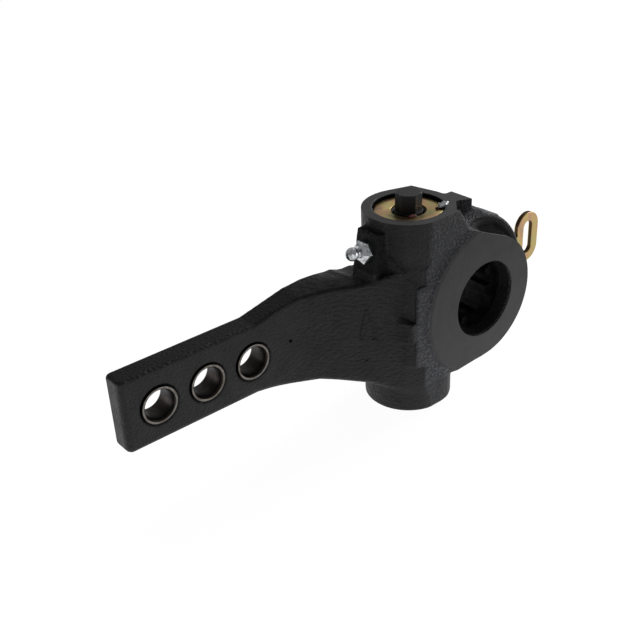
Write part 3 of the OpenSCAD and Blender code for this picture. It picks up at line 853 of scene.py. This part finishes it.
BRONZE = Metal("bronze", Slot.BRONZE, (0.55, 0.36, 0.14), (0.32, 0.2, 0.08), 0.32)
SPRING_STEEL = Metal("spring_steel", Slot.SPRING_STEEL, (0.16, 0.16, 0.17), (0.08, 0.07, 0.06), 0.38)
GASKET = Dull("gasket", Slot.GASKET, (0.05, 0.06, 0.045), 0.8, 0.5, 0.06)
BLACK_OXIDE = Dull("black_oxide", Slot.BLACK_OXIDE, (0.003, 0.003, 0.0033), 0.52, 0.7, 0.04)
GEAR_STEEL = Metal("gear_steel", Slot.GEAR_STEEL, (0.36, 0.36, 0.37), (0.22, 0.2, 0.18), 0.3)
OILED_STEEL = Metal("oiled_steel", Slot.GEAR_STEEL, (0.06, 0.06, 0.062), (0.035, 0.032, 0.03), 0.4)
DULL_ZINC = Metal("dull_zinc", Slot.BRIGHT_ZINC, (0.42, 0.44, 0.45), (0.22, 0.22, 0.22), 0.35, 1.2)
RUST = Dull("rust", Slot.BUSH_STEEL, (0.05, 0.022, 0.010), 0.7, 0.6, 0.12)
WAX = Dull("wax", Slot.SEAL_RUBBER, (0.09, 0.014, 0.008), 0.75, 0.8, 0.1)

NODE_FINISH: dict[str, Finish] = {
    "plug_o_ring": SEAL_RUBBER, "near_seal": SEAL_RUBBER, "cover_seal": SEAL_RUBBER, "cover_gasket": GASKET,
    "plug_lock_pin": BRIGHT_ZINC, "thrust_race_upper": BEARING_STEEL, "thrust_race_lower": BEARING_STEEL,
    "needle_cage": BRONZE, "needle_rollers": BEARING_STEEL, "lower_bush": BRONZE, "worm_spring": SPRING_STEEL,
    "spring_washer": GEAR_STEEL, "one_way_spring": SPRING_STEEL, "worm_shaft": BLACK_OXIDE,
    "worm_wheel": OILED_STEEL, "clutch_ring": GEAR_STEEL, "rack": GEAR_STEEL, "control_disc": GEAR_STEEL,
    "control_arm": STAMPED_ZINC, "arm_keys": GEAR_STEEL, "arm_snap_ring": SPRING_STEEL,
    "cover_plate": COVER_PAINT, "cover_screws": BRIGHT_ZINC}


def dress(obj: bpy.types.Object, finish: Finish, *nodes: str) -> None:
    """Gives a piece of the housing its finish and its body, and hides the nodes that it stands for.

    Args:
        obj: The piece.
        finish: Its finish.
        nodes: CAD nodes that it replaces.
    """
    obj.data.materials.append(finish.material())
    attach(obj, HOUSING)
    if nodes:
        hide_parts(*nodes)
    LOG.info("%s: %d faces in %s", obj.name, len(obj.data.polygons), finish.name)


# The casting


@dataclass(frozen=True)
class Casting:
    """The cast and machined housing, as one signed distance in millimetres.

    A side is an outline in X and Z and a plan one in X and Y, both with their corners anticlockwise. A profile
    is a broken line that gives a size over a coordinate.

    Attributes:
        worm_x, worm_y: Axis of the worm tube.
        top, foot, far: Top and foot of the tube, and the far end of the hub.
        arm_front, arm_back, flare_x, wall_angle, wall_fillet: Plan of the arm and of the flare's slanting wall.
        arm_side, side_corner, arm_round, top_round: Side of the arm and the radii of its edges.
        top_edge, pocket, pocket_y, lean, lean_y: Top of arm and flare over X, the pocket and the lean behind it.
        tube_profile, front_profile: Radius of the tube and its front flat over Z.
        rib_plan, rib_round, foot_round: Corner rib behind the tube, from its axis, and radii of edges.
        web_side, web_z, web_left, face_left: Right edge, span and left edges of the front web.
        flange_r, flange_end, face_r, face_lip, face_slope: Near flange, and its face where it lies on the web.
        hub_r, hub_front, scoop, crest: Gear chamber, the hollow before it and the round of its crest.
        ear_side, ear_plan, ear_slope, ear_back, ear_round, ear_web: Ear, its web to the hub, and radii.
        boss_side, boss_y, boss_round: Boss of the grease nipple.
        pad_side, pad_front, pad_top, pad_ramp, pad_draft: Raised pad with its drafted sides and the ramp over it.
        tab_side, tab_front, tab_draft, pad_corner, pad_round: Tab beside the pad, and radii of both.
        arm_fillet, front_round, pad_fillet, hub_fillet, ear_fillet, boss_fillet: Fillets between the forms.
        bore_steps, seat_r: End and radius of each step of the camshaft bore, and its last radius.
        worm_bores, plug_bore, plug_chamfer: Radius and floor of the bores in the tube.
        rack_slot, lug_slot: Spans of the slots along X, Y and Z.
        holes, hole_r, hole_chamfer, hole_from: Clevis holes, cut from this Y on.
        pit, pit_r: Casting pit in the arm.
        pitch, margins, sharp: Cell of the mesh, room round the solid's box, and angle of sharp edges.
    """

    worm_x: float = WORM_X
    worm_y: float = WORM_Y
    top: float = 53.0
    foot: float = -49.5
    far: float = 46.0
    arm_front: float = ARM_FRONT
    arm_back: float = 45.5
    flare_x: float = FLARE_X
    wall_angle: float = WALL_ANGLE
    wall_fillet: float = 9.0
    arm_side: Line = ((-188, -18.25), (-118, -18.25), (-93, -22.3), (-85, -23.3), (-64, -29.6), (-49, -37.2),
                      (-38, -40), (WORM_X, -40), (WORM_X, 60), (-188, 60))
    side_corner: float = 3.5
    arm_round: float = 3.0
    top_round: float = 1.7
    top_edge: Line = ((-118, 18.25), (-93, 23.9), (-84, 24.6), (-74, 25.2), (-67, 25.4), (-59.4, 26.9),
                      (-51.3, 30.0), (-43, 30.6))
    pocket: Line = ((-64, 0), (-56, 3), (-46, 4.5))
    pocket_y: Point2 = (1.5, 4.5)
    lean: Line = ((-82, 0), (-66, 0.09), (-50, 0.16))
    lean_y: float = 3.0
    tube_profile: Line = ((-36, 22.0), (-34, 22.5))
    front_profile: Line = ((-35, 2.0), (-34, 1.5))
    rib_plan: Line = ((0, 0), (22, 4.8), (19.3, 17.4), (6.9, 21.4))
    rib_round: float = 1.0
    foot_round: float = 1.5
    web_side: Line = ((0, -33), (0, 0), (10.4, 31.3), (-10.7, 40.6), (-19, 53), (-19.5, 60))
    web_z: Point2 = (-35, 60)
    web_left: float = -38.1
    face_left: float = -43.0
    flange_r: float = 33.0
    flange_end: float = 20.0
    face_r: float = 40.0
    face_lip: float = 1.4
    face_slope: float = 0.44
    hub_r: float = 41.0
    hub_front: float = 11.2
    scoop: float = 7.0
    crest: float = 1.5
    ear_side: Line = ((WORM_X, 36), (-9, 43), (-4, 47.6), (-4, 60), (WORM_X, 60))
    ear_plan: Line = ((WORM_X, 14), (-11.1, 11.3), (-4, 7.2), (-4, 21), (WORM_X, 21))
    ear_slope: Line = ((0, 0), (20.5, 35.5), (-4, 49.65), (WORM_X, 49.65))
    ear_back: float = 21.0
    ear_round: float = 0.7
    ear_web: float = 1.0
    boss_side: Line = ((WORM_X, 21.5), (WORM_X, 48), (-57.9, 48), (-62.6, 21.5))
    boss_y: Point2 = (15.75, 30.25)
    boss_round: float = 1.0
    pad_side: Line = ((-47, -20.5), (-36, -23.5), (-24, -23.5), (-24, 40), (-47, 40))
    pad_front: float = 1.0
    pad_top: float = 20.4
    pad_ramp: float = 1.3
    pad_draft: float = 0.5
    tab_side: Line = ((-50.2, -6.3), (-44, -6.3), (-44, 3.6), (-50.2, 3.6))
    tab_front: float = 1.2
    tab_draft: float = 0.35
    pad_corner: float = 0.5
    pad_round: float = 0.6
    arm_fillet: float = 2.0
    front_round: float = 0.9
    pad_fillet: float = 0.5
    hub_fillet: Line = ((2.5, 0.6), (9.0, 7.0))
    ear_fillet: float = 2.0
    boss_fillet: float = 1.5
    bore_steps: Line = ((6.2, 20.0), (12.85, 21.75), (42.05, 27.0))
    seat_r: float = 32.0
    worm_bores: Line = ((14.0, -36.5), (8.7, -44.5))
    plug_bore: Point2 = (17.0, 38.6)
    plug_chamfer: float = 0.4
    rack_slot: tuple[Point2, Point2, Point2] = ((-43.6, 7.2), (32.7, 39.3), (26.9, 33.3))
    lug_slot: tuple[Point2, Point2, Point2] = ((-7.2, 7.2), (37.7, math.inf), (25.2, 33.3))
    holes: tuple[float, ...] = CLEVIS_X
    hole_r: float = 9.0
    hole_chamfer: float = 1.2
    hole_from: float = 20.0
    pit: Point3 = (-99.1, 33.1, 3.0)
    pit_r: float = 1.0
    pitch: float = 0.9
    margins: Point2 = (1.37, 1.6)
    sharp: float = 50.0

    def arm(self, x: Array, y: Array, z: Array) -> Array:
        """Arm and flare: a plan of the flat front and the slanting wall, met with the side outline and the top.

        Args:
            x: Coordinate along the arm.
            y: Coordinate across it.
            z: Height.

        Returns:
            Signed distance.
        """
        wall = (x - self.flare_x) * math.sin(self.wall_angle) - (y - self.arm_front) * math.cos(self.wall_angle)
        plan = np.maximum(fillet_join(self.arm_front - y, wall, self.wall_fillet), y - self.arm_back)
        side = outline(x, z, self.arm_side, self.side_corner)
        return round_meet(round_meet(side, plan, self.arm_round), z - self.arm_top(x, y), self.top_round)

    def arm_top(self, x: Array, y: Array) -> Array:
        """Height of the top: level on the arm, leaning back on the flare, with a pocket behind the ledge.

        Args:
            x: Coordinate along the arm.
            y: Coordinate across it.

        Returns:
            The height.
        """
        depth = y - self.arm_front - np.maximum(x - self.flare_x, 0) * math.tan(self.wall_angle)
        pocket = along(x, self.pocket) * eased(depth, *self.pocket_y)
        return along(x, self.top_edge) - pocket - along(x, self.lean) * np.maximum(depth - self.lean_y, 0)

    def tube(self, x: Array, y: Array, z: Array) -> Array:
        """Worm tube with its foot and the corner rib at its back.

        Args:
            x: Coordinate along the arm.
            y: Coordinate across it.
            z: Height.

        Returns:
            Signed distance.
        """
        u, v = x - self.worm_x, y - self.worm_y
        rib = round_meet(outline(u, v, self.rib_plan), -z, self.rib_round)
        shell = np.minimum(np.hypot(u, v) - along(z, self.tube_profile), rib)
        return round_meet(shell, self.foot - z, self.foot_round)

    def web(self, x: Array, z: Array, left: float) -> Array:
        """Distance in X and Z to the front web between the tube and the near face, from a left edge on."""
        low, high = self.web_z
        return outline(x, z, [(left, low), *self.web_side, (left, high)])

    def hub(self, x: Array, y: Array, z: Array) -> Array:
        """Camshaft hub: gear chamber and near flange with the hollow fillet between them.

        Args:
            x: Coordinate along the arm.
            y: Coordinate along the camshaft.
            z: Height.

        Returns:
            Signed distance.
        """
        rho = np.hypot(x, z)
        chamber = np.maximum(round_meet(rho - self.hub_r, self.hub_front - y, self.crest), y - self.far)
        return fillet_join(chamber, np.maximum(rho - self.flange_r, y - self.flange_end), self.scoop)

    def ear(self, x: Array, y: Array, z: Array) -> Array:
        """Ear at the top of the tube and the web that slopes from it to the hub.

        Args:
            x: Coordinate along the arm.
            y: Coordinate along the camshaft.
            z: Height.

        Returns:
            Signed distance.
        """
        block = round_meet(outline(x, z, self.ear_side), outline(x, y, self.ear_plan), self.ear_round)
        depth = slab(y, self.hub_front, self.ear_back)
        return fillet_join(block, round_meet(outline(x, z, self.ear_slope), depth, self.crest), self.ear_web)

    def boss(self, x: Array, y: Array, z: Array) -> Array:
        """Boss of the grease nipple, with its slanting face."""
        side = outline(x, z, self.boss_side, self.boss_round)
        return round_meet(side, slab(y, *self.boss_y), self.boss_round)

    def pad(self, x: Array, y: Array, z: Array) -> Array:
        """Raised pad beside the near face with its tab, and the near face where it lies on the web.

        Args:
            x: Coordinate along the arm.
            y: Coordinate across it.
            z: Height.

        Returns:
            Signed distance.
        """
        depth = y - self.pad_front
        ramp = (z - self.pad_top - self.pad_ramp * depth) / math.hypot(1.0, self.pad_ramp)
        pad = np.maximum(outline(x, z, self.pad_side, self.pad_corner) - self.pad_draft * depth, ramp)
        pad = round_meet(pad, -depth, self.pad_round)
        tab = outline(x, z, self.tab_side, self.pad_corner) - self.tab_draft * depth
        tab = round_meet(tab, self.tab_front - y, self.pad_round)
        face = self.face_slope * (np.hypot(x, z) - self.face_r + self.face_lip) - y
        face = np.maximum(self.web(x, z, self.face_left), face / math.hypot(1.0, self.face_slope))
        return np.maximum(np.minimum(np.minimum(pad, tab), face), y - self.worm_y)

    def cast(self, x: Array, y: Array, z: Array) -> Array:
        """The raw casting.

        Args:
            x: Coordinate along the arm.
            y: Coordinate along the camshaft.
            z: Height.

        Returns:
            Signed distance.
        """
        body = fillet_join(self.tube(x, y, z), self.arm(x, y, z), self.arm_fillet)
        body = np.minimum(body, np.maximum(self.web(x, z, self.web_left), y - self.worm_y))
        body = round_meet(body, along(z, self.front_profile) - y, self.front_round)
        body = fillet_join(body, self.pad(x, y, z), self.pad_fillet)
        body = fillet_join(body, self.hub(x, y, z), along(y, self.hub_fillet))
        body = fillet_join(body, self.ear(x, y, z), self.ear_fillet)
        return fillet_join(body, self.boss(x, y, z), self.boss_fillet)

    def field(self, x: Array, y: Array, z: Array) -> Array:
        """The casting after machining, with one pit in its arm.

        Args:
            x: Coordinate along the arm.
            y: Coordinate along the camshaft.
            z: Height.

        Returns:
            Signed distance.
        """
        worm = np.hypot(x - self.worm_x, y - self.worm_y)
        body = np.maximum(self.cast(x, y, z), np.maximum(-y, np.maximum(z - self.top, y - self.far)))
        ends, radii = zip(*self.bore_steps)
        plug_r, plug_floor = self.plug_bore
        mouth = np.maximum(0, z - self.top + self.plug_chamfer)
        chamfer = np.maximum(0, self.hole_chamfer - np.minimum(y - self.arm_front, self.arm_back - y))
        a, b, c = self.pit
        cuts = [
            np.hypot(x, z) - np.select([y < end for end in ends], radii, self.seat_r),
            np.maximum(worm - plug_r - mouth, plug_floor - z),
            np.sqrt((x - a) ** 2 + (y - b) ** 2 + (z - c) ** 2) - self.pit_r,
            *(np.maximum(worm - radius, floor - z) for radius, floor in self.worm_bores),
            *(np.maximum(np.maximum(slab(x, *across), slab(y, *deep)), slab(z, *high))
              for across, deep, high in (self.rack_slot, self.lug_slot)),
            *(np.maximum(np.hypot(x - hole, z) - self.hole_r - chamfer, self.hole_from - y)
              for hole in self.holes)]
        for cut in cuts:
            body = np.maximum(body, -cut)
        return body

    def build(self) -> None:
        """Meshes the casting and keeps it inside the solid's box."""
        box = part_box("housing")
        low, high = np.array(box[0]) / MM, np.array(box[1]) / MM
        room = tuple(low - self.margins[0]), tuple(high + self.margins[1])
        vertices, quads = DualContour(self.field, *room, self.pitch).mesh()
        dress(build_object("casting", [(np.clip(vertices, low, high), quads)], self.sharp), CAST_PAINT, "housing")


# Turned and plated pieces


@dataclass(frozen=True)
class Bushes:
    """Three hardened bushes in the arm.

    Attributes:
        centres: X of their axes.
        inner, outer: Radii.
        ends: Y of both ends.
        shoulder, skirt: Corners inside and outside the narrow rim of an end: distance from the bore or from the
            outside, and depth.
        steps, sharp: Points round a bush, and angle of sharp edges.
    """

    centres: tuple[float, ...] = CLEVIS_X
    inner: float = 7.0
    outer: float = 9.0
    ends: Point2 = BUSH_ENDS
    shoulder: Line = ((0.0, 1.6), (0.2, 0.9), (0.6, 0.35), (0.9, 0.1), (1.1, 0.0))
    skirt: Line = ((-0.4, 0.0), (-0.22, 0.1), (-0.12, 0.4), (0.0, 1.1))
    steps: int = 96
    sharp: float = 40.0

    def build(self) -> None:
        """Turns one ring for each hole: its ends are a narrow rim between two rounded shoulders."""
        end = [(self.inner + a, b) for a, b in self.shoulder] + [(self.outer + a, b) for a, b in self.skirt]
        near, far = self.ends
        profile = [(a, near + b) for a, b in end] + [(a, far - b) for a, b in end[::-1]]
        for i, x in enumerate(self.centres, 1):
            ring = placed(turned(profile, self.steps), axis_matrix((x, 0, 0), (0, 1, 0), (0, 0, 1)))
            dress(build_object(f"bush_{i}", [sheet(ring, True, True)], self.sharp), BUSH_STEEL, f"clevis_bush_{i}")


@dataclass(frozen=True)
class Plug:
    """Yellow plug of the worm tube and its lip seal.

    Attributes:
        axis: Axis of the tube.
        plug, seal: Radius and height of the corners of both.
        steps, sharp: Points round them, and angle of sharp edges.
    """

    axis: Point3 = (WORM_X, WORM_Y, 0.0)
    plug: Line = (
        (7.05, 46.3), (8.55, 46.3), (8.55, 50.7), (8.65, 51.05), (8.95, 51.18), (11.6, 51.18), (11.9, 51.3),
        (16.25, 51.3), (16.7, 51.05), (16.95, 50.6), (16.95, 43.1), (14.5, 43.1), (14.5, 40.6), (16.95, 40.6),
        (16.95, 39.0), (16.55, 38.6), (7.05, 38.6))
    seal: Line = ((7.05, 48.5), (7.6, 49.8), (7.9, 50.3), (8.3, 50.3), (8.5, 50.1), (8.5, 46.3), (7.7, 46.3),
                  (7.05, 47.3))
    steps: int = 128
    sharp: float = 30.0

    def build(self) -> None:
        """Turns the plug and the seal."""
        self._turn("plug", self.plug, YELLOW_ZINC, "end_plug")
        self._turn("lip_seal", self.seal, SEAL_RUBBER, "shaft_seal")

    def _turn(self, name: str, profile: Line, finish: Finish, node: str) -> None:
        """Turns and dresses one ring round the tube's axis."""
        ring = placed(turned(profile, self.steps), Matrix.Translation(self.axis))
        dress(build_object(name, [sheet(ring, True, True)], self.sharp), finish, node)


@dataclass(frozen=True)
class Nipple:
    """Grease nipple: shank, hexagon with a tapered front, neck and ball with its hole.

    Attributes:
        base: Where its axis leaves the boss.
        tilt: Rise of the axis.
        shank, neck: Radius and height of their rows.
        hexagon: Size across flats and height of its rows.
        ball, ball_at, ball_from, ball_rows: Radius and height of the ball, angle where it starts, and its rows.
        hole: Radius of the hole's edge.
        hollow: Radius of the rows inside the hole, and their height from its edge.
        steps, sharp: Points round it, and angle of sharp edges.
    """

    base: Point3 = (-59.3, 23.0, 38.5)
    tilt: float = math.radians(10.0)
    shank: Line = ((0.0, -7.0), (2.7, -7.0), (3.0, -6.7), (3.0, 0.0))
    hexagon: Line = ((9.6, 0.0), (10.0, 0.25), (10.0, 3.0), (9.7, 3.3), (6.8, 4.8), (6.2, 5.0))
    neck: Line = ((2.3, 5.0), (2.2, 5.2), (2.2, 5.9))
    ball: float = 3.25
    ball_at: float = 8.5
    ball_from: float = math.radians(-48.0)
    ball_rows: int = 14
    hole: float = 0.9
    hollow: Line = ((0.75, -0.3), (0.7, -1.6), (0.0, -1.6))
    steps: int = 96
    sharp: float = 30.0

    def build(self) -> None:
        """Carries one profile round the axis, trimmed by a hexagon along its middle part."""
        tip = math.acos(self.hole / self.ball)
        angles = np.linspace(self.ball_from, tip, self.ball_rows)
        dome = np.stack([self.ball * np.cos(angles), self.ball_at + self.ball * np.sin(angles)], axis=1)
        hollow = [(radius, dome[-1, 1] + height) for radius, height in self.hollow]
        rows = np.array([*self.shank, *self.hexagon, *self.neck, *dome, *hollow])
        flats = np.zeros(len(rows))
        flats[len(self.shank):][:len(self.hexagon)] = [size for size, _ in self.hexagon]
        at = axis_matrix(self.base, (-math.cos(self.tilt), 0.0, math.sin(self.tilt)))
        shell = sheet(placed(turned(rows, self.steps, flats), at), False, True)
        dress(build_object("nipple", [shell], self.sharp), BRIGHT_ZINC, "grease_nipple")


def lump(waves: float, steps: int = 24, swell: float = 0.16, square: float = 0.6) -> Array:
    """A squared ball whose radius swells and sinks: two sine waves of the angles, fading at the poles.

    Args:
        waves: Waves round it.
        steps: Points round it.
        swell: Height of the waves.
        square: Power of the sine of the polar angle: under 1 the ball is squarer.

    Returns:
        Array of rows, columns and coordinates, with one point at each pole.
    """
    polar = np.linspace(0, math.pi, steps // 2 + 1)[:, None]
    turn = np.linspace(0, 2 * math.pi, steps, endpoint=False)[None, :]
    wave = 1 + swell * np.sin(polar) * np.sin(waves * turn + 1.0) * np.sin(2 * polar + 0.6)
    ring = np.sin(polar) ** square * wave
    return np.stack([ring * np.cos(turn), ring * np.sin(turn), -np.cos(polar) + 0 * turn], axis=-1)


class Mark(NamedTuple):
    """A small lump on the plug.

    Attributes:
        name: Name of the piece.
        finish: Its finish.
        at: Its middle.
        size: Its half sizes.
        waves: Waves round it.
        turn, lean: Its turn round Z and then its lean round Y, in degrees.
    """

    name: str
    finish: Finish
    at: Point3
    size: Point3
    waves: float
    turn: float = 0.0
    lean: float = 0.0


@dataclass(frozen=True)
class Marks:
    """Small marks on the plug: the dab of wax, and the staked lock tab with its brown chip.

    Attributes:
        marks: The lumps.
        sharp: Angle of sharp edges.
    """

    marks: tuple[Mark, ...] = (
        Mark("wax_dab", WAX, (-36.4, 15.7, 51.3), (2.5, 1.6, 0.6), 3.0),
        Mark("lock_tab", DULL_ZINC, (-18.2, 13.1, 52.6), (3.0, 2.0, 0.7), 5.0, 8.0, -12.0),
        Mark("lock_chip", RUST, (-21.6, 13.4, 51.7), (1.4, 1.0, 0.6), 4.0))
    sharp: float = 60.0

    def build(self) -> None:
        """Builds each lump at its size, leaned, turned and moved to its place."""
        for mark in self.marks:
            turn = Matrix.Rotation(math.radians(mark.turn), 4, "Z")
            lean = Matrix.Rotation(math.radians(mark.lean), 4, "Y")
            at = Matrix.Translation(mark.at) @ turn @ lean @ Matrix.Diagonal((*mark.size, 1.0))
            shell = sheet(placed(lump(mark.waves), at), False, True)
            dress(build_object(mark.name, [shell], self.sharp), mark.finish)


@dataclass(frozen=True)
class Arrow:
    """Faint raised arrow on the flare's wall, as rounded strips between points of the wall.

    Attributes:
        start: Where the wall starts.
        wall_angle: Its angle.
        lines: Ends of the strips, along the wall and up.
        half_width, rise: Half width of a strip, and its rise over the wall.
        sharp: Angle of sharp edges.
    """

    start: Point3 = (FLARE_X, ARM_FRONT, 0.0)
    wall_angle: float = WALL_ANGLE
    lines: tuple[tuple[Point2, Point2], ...] = (
        ((32.6, 13.3), (29.0, -3.6)), ((32.6, 13.3), (37.4, -4.7)), ((29.0, -3.6), (31.0, -4.0)),
        ((35.0, -4.4), (37.4, -4.7)), ((31.9, -15.8), (32.7, -15.8)))
    half_width: float = 0.55
    rise: float = 0.34
    sharp: float = 60.0

    def build(self) -> None:
        """Builds one long dome for each strip, sunk to its middle in the wall."""
        across = Matrix.Rotation(self.wall_angle, 4, "Z") @ Matrix.Rotation(math.radians(90.0), 4, "X")
        wall = Matrix.Translation(self.start) @ across
        parts = []
        for (u0, v0), (u1, v1) in self.lines:
            half = math.hypot(u1 - u0, v1 - v0) / 2 + self.half_width
            turn = Matrix.Rotation(math.atan2(v1 - v0, u1 - u0), 4, "Z")
            at = wall @ Matrix.Translation(((u0 + u1) / 2, (v0 + v1) / 2, 0.0)) @ turn
            dome = lump(0.0) * np.array([half, self.half_width, self.rise])
            parts.append(sheet(placed(dome, at), False, True))
        dress(build_object("arrow", parts, self.sharp), CAST_PAINT)


BEVELLED: dict[str, float] = {
    "control_arm": 0.5, "cover_plate": 0.5, "cover_screws": 0.3, "worm_shaft": 0.35, "arm_snap_ring": 0.2,
    "arm_keys": 0.2}


@dataclass(frozen=True)
class SolidNodes:
    """The solids that show as they are, with soft edges on those in reach of the eye.

    Attributes:
        weld: Distance within which their loose corners are joined.
        segments: Steps of a soft edge.
        corner: Angle in degrees over which an edge is softened.
    """

    weld: float = 0.002
    segments: int = 3
    corner: float = 40.0

    def build(self) -> None:
        """Gives each solid its finish."""
        for name, finish in NODE_FINISH.items():
            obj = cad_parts[name]
            obj.data.materials.clear()
            obj.data.materials.append(finish.material())
            if name in BEVELLED:
                self._soften(obj, BEVELLED[name])
            LOG.info("%s: CAD node in %s", name, finish.name)

    def _soften(self, obj: bpy.types.Object, width: float) -> None:
        """Rounds the edges of a solid.

        Args:
            obj: The solid.
            width: Width of its soft edges.
        """
        obj.modifiers.new("weld", "WELD").merge_threshold = self.weld * MM
        bevel = obj.modifiers.new("bevel", "BEVEL")
        bevel.width = width * MM
        bevel.segments = self.segments
        bevel.limit_method = "ANGLE"
        bevel.angle_limit = math.radians(self.corner)
        bevel.harden_normals = True


# Stage


class Lamp(NamedTuple):
    """A soft square light: its name, place and side in metres, and power in watts."""

    name: str
    at: Point3
    size: float
    power: float


@dataclass(frozen=True)
class Studio:
    """Camera, floor, world and lights.

    Attributes:
        camera_at, azimuth, elevation, roll: Place of the camera in millimetres and its angles in degrees.
        lens, sensor, clip: Its lens and sensor in millimetres, and its nearest distance in metres.
        floor_half, floor_z: Half side and height of the floor.
        floor_tone, floor_cloud: Mean and spread of its brightness, and size of its clouds.
        floor_glow, floor_seen: How much of it glows, and how much more it does where it is seen or mirrored.
        floor_white: How much brighter the glow is to the camera.
        fill, mirror: Strength of the world as light and in reflections.
        lamps, aim: The lights, and the place in metres that they point at.
    """

    camera_at: Point3 = (-330.868, -275.282, 230.305)
    azimuth: float = -39.098
    elevation: float = 29.404
    roll: float = -2.662
    lens: float = 54.03
    sensor: float = 36.0
    clip: float = 0.01
    floor_half: float = 6000.0
    floor_z: float = -49.7
    floor_tone: Point2 = (0.85, 0.01)
    floor_cloud: float = 60.0
    floor_glow: float = 0.45
    floor_seen: float = 0.35
    floor_white: float = 0.2
    fill: float = 0.064
    mirror: float = 0.264
    lamps: tuple[Lamp, ...] = (
        Lamp("back", (0.35, 0.75, 0.9), 1.1, 1.0), Lamp("side", (1.0, 0.15, 0.5), 0.6, 10.0),
        Lamp("left", (-0.34, 0.14, -0.01), 0.12, 0.17), Lamp("right", (0.75, -0.9, 0.1), 0.7, 2.8),
        Lamp("front", (-0.6, -0.95, 0.1), 0.7, 0.9))
    aim: Point3 = (-0.06, 0.02, 0.0)

    def build(self) -> None:
        """Sets the view, the floor and the lights."""
        scene = bpy.context.scene
        scene.view_settings.view_transform = "Standard"
        self._camera(scene)
        self._floor()
        self._world(scene)
        for lamp in self.lamps:
            self._light(lamp)

    def _camera(self, scene: bpy.types.Scene) -> None:
        """Places the camera.

        Args:
            scene: The scene.
        """
        a, e, r = (math.radians(v) for v in (self.azimuth, self.elevation, self.roll))
        back = Vector((math.sin(a) * math.cos(e), -math.cos(a) * math.cos(e), math.sin(e)))
        right = Vector((math.cos(a), math.sin(a), 0.0))
        up = back.cross(right)
        x = right * math.cos(r) + up * math.sin(r)
        y = up * math.cos(r) - right * math.sin(r)
        camera = bpy.data.cameras.new("camera")
        camera.lens = self.lens
        camera.sensor_width = self.sensor
        camera.clip_start = self.clip
        obj = bpy.data.objects.new("camera", camera)
        turn = Matrix((x, y, back)).transposed().to_4x4()
        obj.matrix_world = Matrix.Translation(Vector(self.camera_at) * MM) @ turn
        scene.collection.objects.link(obj)
        scene.camera = obj

    def _floor(self) -> None:
        """Lays a pale floor that keeps a soft shadow and is white to the camera."""
        h, z = self.floor_half, self.floor_z
        corners = np.array([[[-h, -h, z], [h, -h, z]], [[-h, h, z], [h, h, z]]])
        obj = build_object("floor", [sheet(corners)])
        material = bpy.data.materials.new("floor")
        g = Graph(material)
        ray = g.add("ShaderNodeLightPath", output="Is Camera Ray")
        glossy = g.add("ShaderNodeLightPath", output="Is Glossy Ray")
        mean, spread = self.floor_tone
        tone = g.uneven(mean, self.floor_cloud, spread, 2.0)
        colour = g.add("ShaderNodeCombineColor", inputs={0: tone, 1: tone, 2: tone})
        diffuse = g.add("ShaderNodeBsdfDiffuse", inputs={"Color": colour})
        white = g.add("ShaderNodeEmission", inputs={"Color": grey(1.0), "Strength": 1.0 + self.floor_white * ray})
        seen = self.floor_glow + self.floor_seen * ray.most(glossy)
        g.add_output(g.add("ShaderNodeMixShader", inputs={0: seen, 1: diffuse, 2: white}))
        obj.data.materials.append(material)

    def _world(self, scene: bpy.types.Scene) -> None:
        """Lights the world evenly and dimly; it is white to the camera and grey to reflections.

        Args:
            scene: The scene.
        """
        world = bpy.data.worlds.new("world")
        scene.world = world
        g = Graph(world)
        camera = g.add("ShaderNodeLightPath", output="Is Camera Ray")
        glossy = g.add("ShaderNodeLightPath", output="Is Glossy Ray")
        through = g.add("ShaderNodeLightPath", output="Is Transmission Ray")
        strength = self.fill + (self.mirror - self.fill) * glossy + (1.0 - self.fill) * camera.most(through)
        background = g.add("ShaderNodeBackground", inputs={"Color": grey(1.0), "Strength": strength})
        g.add_output(background, "ShaderNodeOutputWorld")

    def _light(self, lamp: Lamp) -> None:
        """Adds a soft square light that points at the part.

        Args:
            lamp: The light.
        """
        light = bpy.data.lights.new(lamp.name, "AREA")
        light.size = lamp.size
        light.energy = lamp.power
        obj = bpy.data.objects.new(lamp.name, light)
        turn = (Vector(lamp.at) - Vector(self.aim)).to_track_quat("Z", "Y").to_matrix().to_4x4()
        obj.matrix_world = Matrix.Translation(lamp.at) @ turn
        bpy.context.scene.collection.objects.link(obj)


def main() -> None:
    """Builds the pieces in order and notes the sizes."""
    logging.basicConfig(level=logging.INFO, format="%(name)s: %(message)s")
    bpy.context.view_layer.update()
    Casting().build()
    Bushes().build()
    Plug().build()
    Nipple().build()
    Marks().build()
    Arrow().build()
    SolidNodes().build()
    Studio().build()


if __name__ == "__main__":
    main()
